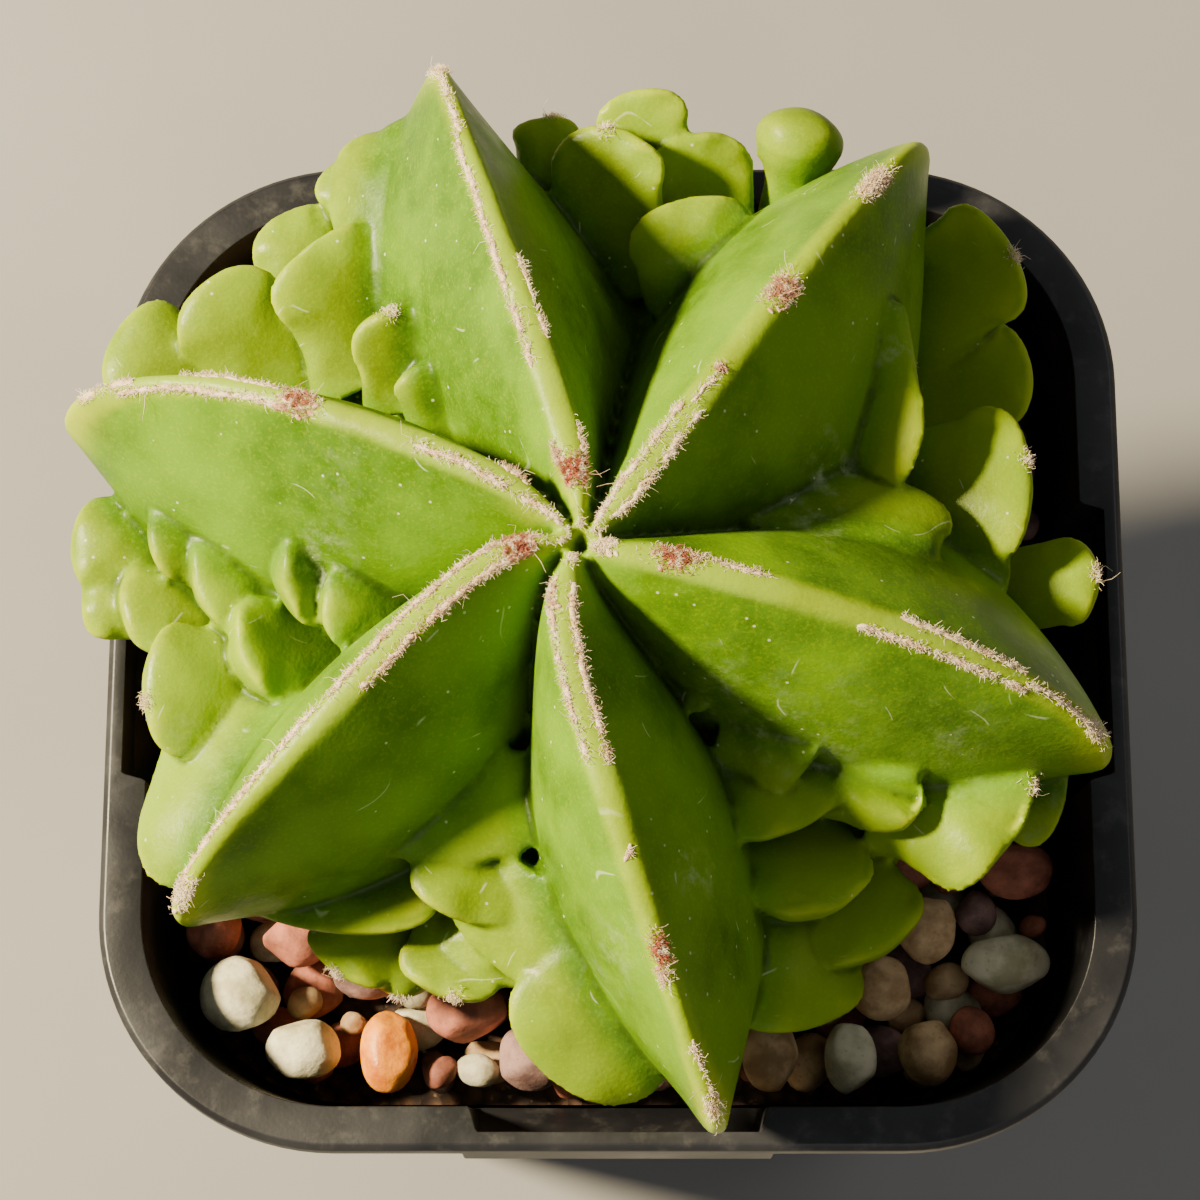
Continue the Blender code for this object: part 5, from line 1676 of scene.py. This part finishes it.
@dataclass
class TopDressing:
    """The larger river stones and the small mixed gravel round them."""

    pot: PotForm
    form: PlantForm
    low: GravelLayer = GravelLayer(64.0, 2.9, 1.7, 0.78, 9000)
    high: GravelLayer = GravelLayer(66.6, 2.7, 1.2, 0.84, 14000)
    bed: float = 62.4
    top: float = 69.0
    wall_height: float = 62.0
    slack: float = 0.35
    off_neck: float = 0.6
    river_overlap: tuple[float, float] = (0.75, 0.9)
    middling_tint: float = 0.55
    most_tip: float = 22.0
    seed: int = 5

    def river_stones(self, dressed: dict[StoneKind, bpy.types.Material]) -> list[bpy.types.Object]:
        """Make the loose river stones, each in its CAD solid's place and size."""
        pieces = []
        for index, kind in enumerate(RIVER_KINDS, start=1):
            node = f"river_stone_{index:02d}"
            low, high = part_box(node)
            centre, half = (low + high) / (2.0 * MM), (high - low) / (2.0 * MM)
            made = worn_stone(4, half, Matrix.Identity(3), centre, random.Random(self.seed + index))
            stone = object_from_bmesh(f"pebble_{index:02d}", made)
            set_attribute(stone.data, "tint", np.full(len(stone.data.vertices), self.middling_tint))
            dress(stone.data, dressed[kind])
            pieces.append(complete(stone, [node]))
        return pieces

    def taken(self) -> list[tuple[Vector, float]]:
        """Return the centre and radius of each river stone."""
        spots = []
        for index in range(1, len(RIVER_KINDS) + 1):
            low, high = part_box(f"river_stone_{index:02d}")
            spots.append(((low + high) / (2.0 * MM), max((high - low).xyz) / (2.0 * MM)))
        return spots

    def room(self, layer: GravelLayer, x: float, y: float, radius: float,
             river: list[tuple[Vector, float]], placed: list[tuple[float, float, float]]) -> bool:
        """Return whether a grain has room beside the neck, the wall and the other stones.

        Args:
            layer: The grain's layer.
            x: Its place to the right.
            y: Its place to the back.
            radius: Its radius.
            river: Centre and radius of each river stone.
            placed: Place and radius of the layer's grains so far.
        """
        off_plant = math.hypot(x - self.form.x, y - self.form.y)
        neck = self.form.neck_radius(layer.height) + radius + self.off_neck
        if off_plant < neck or not self.pot.keep_inside(x, y, self.wall_height, radius + self.slack):
            return False
        own, other = self.river_overlap
        if layer is self.high and any(math.hypot(x - spot.x, y - spot.y) < radius * own + size * other
                                      for spot, size in river):
            return False
        return all(math.hypot(x - a, y - b) >= layer.packing * (radius + size) for a, b, size in placed)

    def grain(self, layer: GravelLayer, x: float, y: float, radius: float,
              draw: random.Random) -> bmesh.types.BMesh:
        """Make one grain: it lies on the bed in the low layer and among the others in the high one."""
        size = Vector((radius, radius * draw.uniform(0.72, 1.0), radius * draw.uniform(0.6, 0.8)))
        turn = Matrix.Rotation(draw.uniform(0, math.tau), 3, "Z")
        tip = Matrix.Rotation(math.radians(draw.uniform(-self.most_tip, self.most_tip)), 3, "X")
        if layer is self.low:
            height = self.bed + size.z
        else:
            height = min(layer.height + draw.uniform(-0.4, 0.6), self.top - size.z)
        return worn_stone(3, size, turn @ tip, Vector((x, y, height)), draw)

    def gravel(self, dressed: dict[StoneKind, bpy.types.Material]) -> bpy.types.Object:
        """Make the small gravel in two layers, big grains first and smaller ones in the gaps."""
        draw = random.Random(self.seed)
        river = self.taken()
        order = list(dressed)
        bm = bmesh.new()
        tints = []
        for layer in (self.low, self.high):
            placed: list[tuple[float, float, float]] = []
            reach = self.pot.half(layer.height)
            for attempt in range(layer.tries):
                x, y = draw.uniform(-reach, reach), draw.uniform(-reach, reach)
                radius = mix(layer.biggest, layer.smallest, attempt / layer.tries) * draw.uniform(0.85, 1.0)
                if not self.room(layer, x, y, radius, river, placed):
                    continue
                placed.append((x, y, radius))
                grain = self.grain(layer, x, y, radius, draw)
                kind = order.index(draw.choice(GRAVEL_KINDS))
                tints += [draw.random()] * len(grain.verts)
                for face in grain.faces:
                    face.material_index = kind
                absorb(bm, grain)
        gravel = object_from_bmesh("gravel_grains", bm)
        dress(gravel.data, *dressed.values())
        set_attribute(gravel.data, "tint", np.array(tints))
        return complete(gravel, ["gravel_bed"])


@dataclass
class NurseryPot:
    """The square moulded pot, with turned rim, side pockets, drain holes and grooves."""

    form: PotForm
    round_edge: float = 0.35
    sharp_angle: float = 32.0
    pocket_inset: float = 0.2
    pocket_steps: tuple[int, int] = (4, 6)
    drain_sides: int = 32
    drill: float = 8.0

    def ring(self, half: float, corner: float, z: float, bulge: float = 0.0,
             inset: float = 0.0) -> list[Vector]:
        """Return a rounded square ring, with each side's middle set out by a pocket's bulge."""
        pot = self.form
        pocket = pot.pocket_half - inset
        points = []
        rise, flat = self.pocket_steps
        shares = [i / rise for i in range(rise + 1)]
        for quarter in range(4):
            spin = Matrix.Rotation(math.radians(90.0 * quarter), 3, "Z")
            side = [(-pocket - pot.pocket_step * (1.0 - i), bulge * smooth(i, 0, 1)) for i in shares]
            side += [(mix(-pocket, pocket, i / flat), bulge) for i in range(1, flat)]
            side += [(pocket + pot.pocket_step * i, bulge * (1.0 - smooth(i, 0, 1))) for i in shares]
            for along, out in side:
                points.append(spin @ Vector((half + out, along, z)))
            for step in range(pot.corner_steps + 1):
                angle = math.radians(90.0 * step / pot.corner_steps)
                x = half - corner + corner * math.cos(angle)
                y = half - corner + corner * math.sin(angle)
                points.append(spin @ Vector((x, y, z)))
        return points

    def bulge(self, z: float) -> float:
        """Return how far a side pocket stands out of the wall at a height."""
        start = self.form.height - self.form.pocket_depth - self.form.pocket_slope
        share = min(1.0, max(0.0, (z - start) / self.form.pocket_slope))
        return share * (self.form.rim_half - self.pocket_inset - self.form.half(z))

    def outer(self, z: float) -> list[Vector]:
        """Return a ring of the wall's outer face."""
        return self.ring(self.form.half(z), self.form.corner(z), z, self.bulge(z))

    def inner(self, z: float) -> list[Vector]:
        """Return a ring of the wall's inner face."""
        wall = self.form.wall
        return self.ring(self.form.half(z) - wall, self.form.corner(z) - wall, z, self.bulge(z), wall)

    def cut(self, pot: bpy.types.Object, tools: list[bmesh.types.BMesh]) -> None:
        """Cut every tool from the pot in one Boolean."""
        group = bpy.data.collections.new("pot_cutters")
        bpy.context.scene.collection.children.link(group)
        made = [object_from_bmesh(f"pot_cutter_{i}", bm) for i, bm in enumerate(tools)]
        for tool in made:
            bpy.context.scene.collection.objects.unlink(tool)
            group.objects.link(tool)
        change = pot.modifiers.new("cut", "BOOLEAN")
        change.operation = "DIFFERENCE"
        change.operand_type = "COLLECTION"
        change.collection = group
        change.solver = "EXACT"
        bake_modifiers(pot)
        for tool in made:
            bpy.data.objects.remove(tool, do_unlink=True)
        bpy.data.collections.remove(group)

    def build(self, finish: PlasticFinish) -> bpy.types.Object:
        """Make the pot and dress it in its plastic."""
        pot = self.form
        pocket_foot = pot.height - pot.pocket_depth - pot.pocket_slope
        pocket_full = pot.height - pot.pocket_depth
        under = pot.height - pot.flange
        floor_half = pot.half(pot.floor) - pot.wall - pot.floor_slope
        rings = [
            self.ring(pot.base_half - pot.foot_inset, pot.base_corner - pot.foot_inset, 0.0),
            self.outer(pot.foot),
            self.outer(pocket_foot),
            self.outer(pocket_full),
            self.outer(under - pot.lip),
            self.ring(pot.rim_half, pot.rim_corner, under),
            self.ring(pot.rim_half, pot.rim_corner, pot.height - pot.rim_round),
            self.ring(pot.rim_half - pot.rim_round, pot.rim_corner - pot.rim_round, pot.height),
            [point + Vector((0.0, 0.0, pot.lip)) for point in self.inner(pot.height - pot.lip)],
            self.inner(pot.height - pot.lip),
            self.inner(pocket_full),
            self.inner(pocket_foot),
            self.inner(pot.floor + pot.floor_slope),
            self.ring(floor_half, pot.base_corner - 2.0 * pot.floor_slope, pot.floor),
        ]
        piece = loft("nursery_pot", rings)
        drains, grooves = [], []
        for quarter in range(4):
            spin = Matrix.Rotation(math.radians(90.0 * quarter), 4, "Z")
            for x, y in ((pot.drain_corner, pot.drain_corner), (pot.drain_side, 0.0)):
                bm = bmesh.new()
                bmesh.ops.create_cone(bm, cap_ends=True, segments=self.drain_sides,
                                      radius1=pot.drain_radius, radius2=pot.drain_radius, depth=self.drill,
                                      matrix=spin @ Matrix.Translation((x, y, 0.0)))
                drains.append(bm)
            reach = pot.base_half + pot.groove_past - pot.drain_side
            size = Matrix.Diagonal((reach, pot.groove_width, 2.0 * pot.groove_depth, 1.0))
            place = Matrix.Translation((pot.drain_side + reach / 2.0, 0.0, 0.0))
            bm = bmesh.new()
            bmesh.ops.create_cube(bm, size=1.0, matrix=spin @ place @ size)
            grooves.append(bm)
        self.cut(piece, drains)
        self.cut(piece, grooves)
        soften = piece.modifiers.new("soften", "BEVEL")
        soften.width = self.round_edge
        soften.segments = 3
        soften.limit_method = "ANGLE"
        soften.angle_limit = math.radians(self.sharp_angle)
        bake_modifiers(piece)
        dress(piece.data, finish.make())
        complete(piece, ["pot"])
        piece.data.set_sharp_from_angle(angle=math.radians(self.sharp_angle))
        return piece


# ---- Studio ----


@dataclass(frozen=True)
class Lamp:
    """A soft round lamp that looks at the plant: its place, diameter, watts and colour."""

    name: str
    place: tuple[float, float, float]
    size: float
    power: float
    tone: str


LAMPS = (
    Lamp("key_left", (-480.0, 50.0, 480.0), 90.0, 21.0, "#ffecc4"),
    Lamp("fill_right", (420.0, 260.0, 420.0), 420.0, 0.5, "#f4f0ec"),
    Lamp("fill_front", (60.0, -480.0, 380.0), 420.0, 0.5, "#f8f4ee"),
)


@dataclass
class Studio:
    """Pale floor, soft lights and the camera of the photograph."""

    tilt: float = 16.0
    distance: float = 300.0
    aim_height: float = 76.0
    centre: tuple[float, float] = (-1.478, 3.42)
    focal_pixels: float = 3582.609
    frame_pixels: float = 1200.0
    sensor: float = 36.0
    clip: tuple[float, float] = (0.01, 20.0)
    floor_half: float = 1500.0
    floor_tooth: float = 60.0
    floor_tones: tuple[str, str] = ("#8f8e8c", "#888785")
    sky_tone: str = "#e9edf2"
    sky_strength: float = 0.2

    def camera(self) -> None:
        """Set the camera above the plant, leaning towards it from the front."""
        data = bpy.data.cameras.new("camera")
        data.sensor_fit = "HORIZONTAL"
        data.sensor_width = self.sensor
        data.lens = self.sensor * self.focal_pixels / self.frame_pixels
        data.clip_start, data.clip_end = self.clip
        eye = bpy.data.objects.new("camera", data)
        bpy.context.scene.collection.objects.link(eye)
        lean = math.radians(self.tilt)
        x, y = self.centre
        place = Vector((x, y - self.distance * math.sin(lean),
                        self.aim_height + self.distance * math.cos(lean))) * MM
        eye.matrix_world = Matrix.Translation(place) @ Matrix.Rotation(lean, 4, "X")
        bpy.context.scene.camera = eye

    def light(self, row: Lamp) -> None:
        """Add one lamp that looks at the plant."""
        data = bpy.data.lights.new(row.name, "AREA")
        data.shape = "DISK"
        data.size = row.size * MM
        data.energy = row.power
        data.color = linear(row.tone)[:3]
        lamp = bpy.data.objects.new(row.name, data)
        bpy.context.scene.collection.objects.link(lamp)
        where = Vector(row.place) * MM
        towards = Vector((0.0, 0.0, self.aim_height * MM)) - where
        lamp.matrix_world = Matrix.Translation(where) @ towards.to_track_quat("-Z", "Y").to_matrix().to_4x4()

    def floor(self) -> None:
        """Make the sheet of matt paper that the pot stands on."""
        bm = bmesh.new()
        bmesh.ops.create_grid(bm, x_segments=2, y_segments=2, size=self.floor_half * MM)
        sheet = object_from_bmesh("studio_floor", bm)
        made, tree, shader, place = new_material("floor_paper_matt")
        tooth = ramp(tree, cloud(tree, place, self.floor_tooth, 4.0), 0.3, 0.7)
        feed(tree, shader, colour=blend(tree, tooth, *(linear(tone) for tone in self.floor_tones)))
        set_inputs(shader, {"Roughness": 0.85})
        dress(sheet.data, made)

    def build(self) -> None:
        """Make the floor, the lights, the surroundings and the camera."""
        self.floor()
        for row in LAMPS:
            self.light(row)
        world = bpy.data.worlds.new("soft_room")
        world.use_nodes = True
        set_inputs(world.node_tree.nodes["Background"],
                   {"Color": linear(self.sky_tone), "Strength": self.sky_strength})
        bpy.context.scene.world = world
        self.camera()


def main() -> None:
    """Build every piece of the potted plant and its studio, in order."""
    logging.basicConfig(level=logging.INFO, format="%(message)s")
    form, pot_form = PlantForm(), PotForm()
    body = CactusBody(form)
    plant = body.build(SkinFinish())
    log.info("plant: %d faces", len(plant.data.polygons))
    wool = AreoleWool(form, surface_of(plant, 1.0 / MM))
    for piece in wool.build(FeltFinish(), body.areole_places):
        log.info("%s: %d faces", piece.name, len(piece.data.polygons))
    dressed = {kind: finish.make() for kind, finish in STONE_FINISHES.items()}
    dressing = TopDressing(pot_form, form)
    log.info("river stones: %d", len(dressing.river_stones(dressed)))
    log.info("gravel: %d faces", len(dressing.gravel(dressed).data.polygons))
    log.info("pot: %d faces", len(NurseryPot(pot_form).build(PlasticFinish()).data.polygons))
    dress(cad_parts["potting_soil"].data, MixFinish().make())
    log.info("potting mix dressed")
    Studio().build()
    log.info("studio ready")


if __name__ == "__main__":
    main()
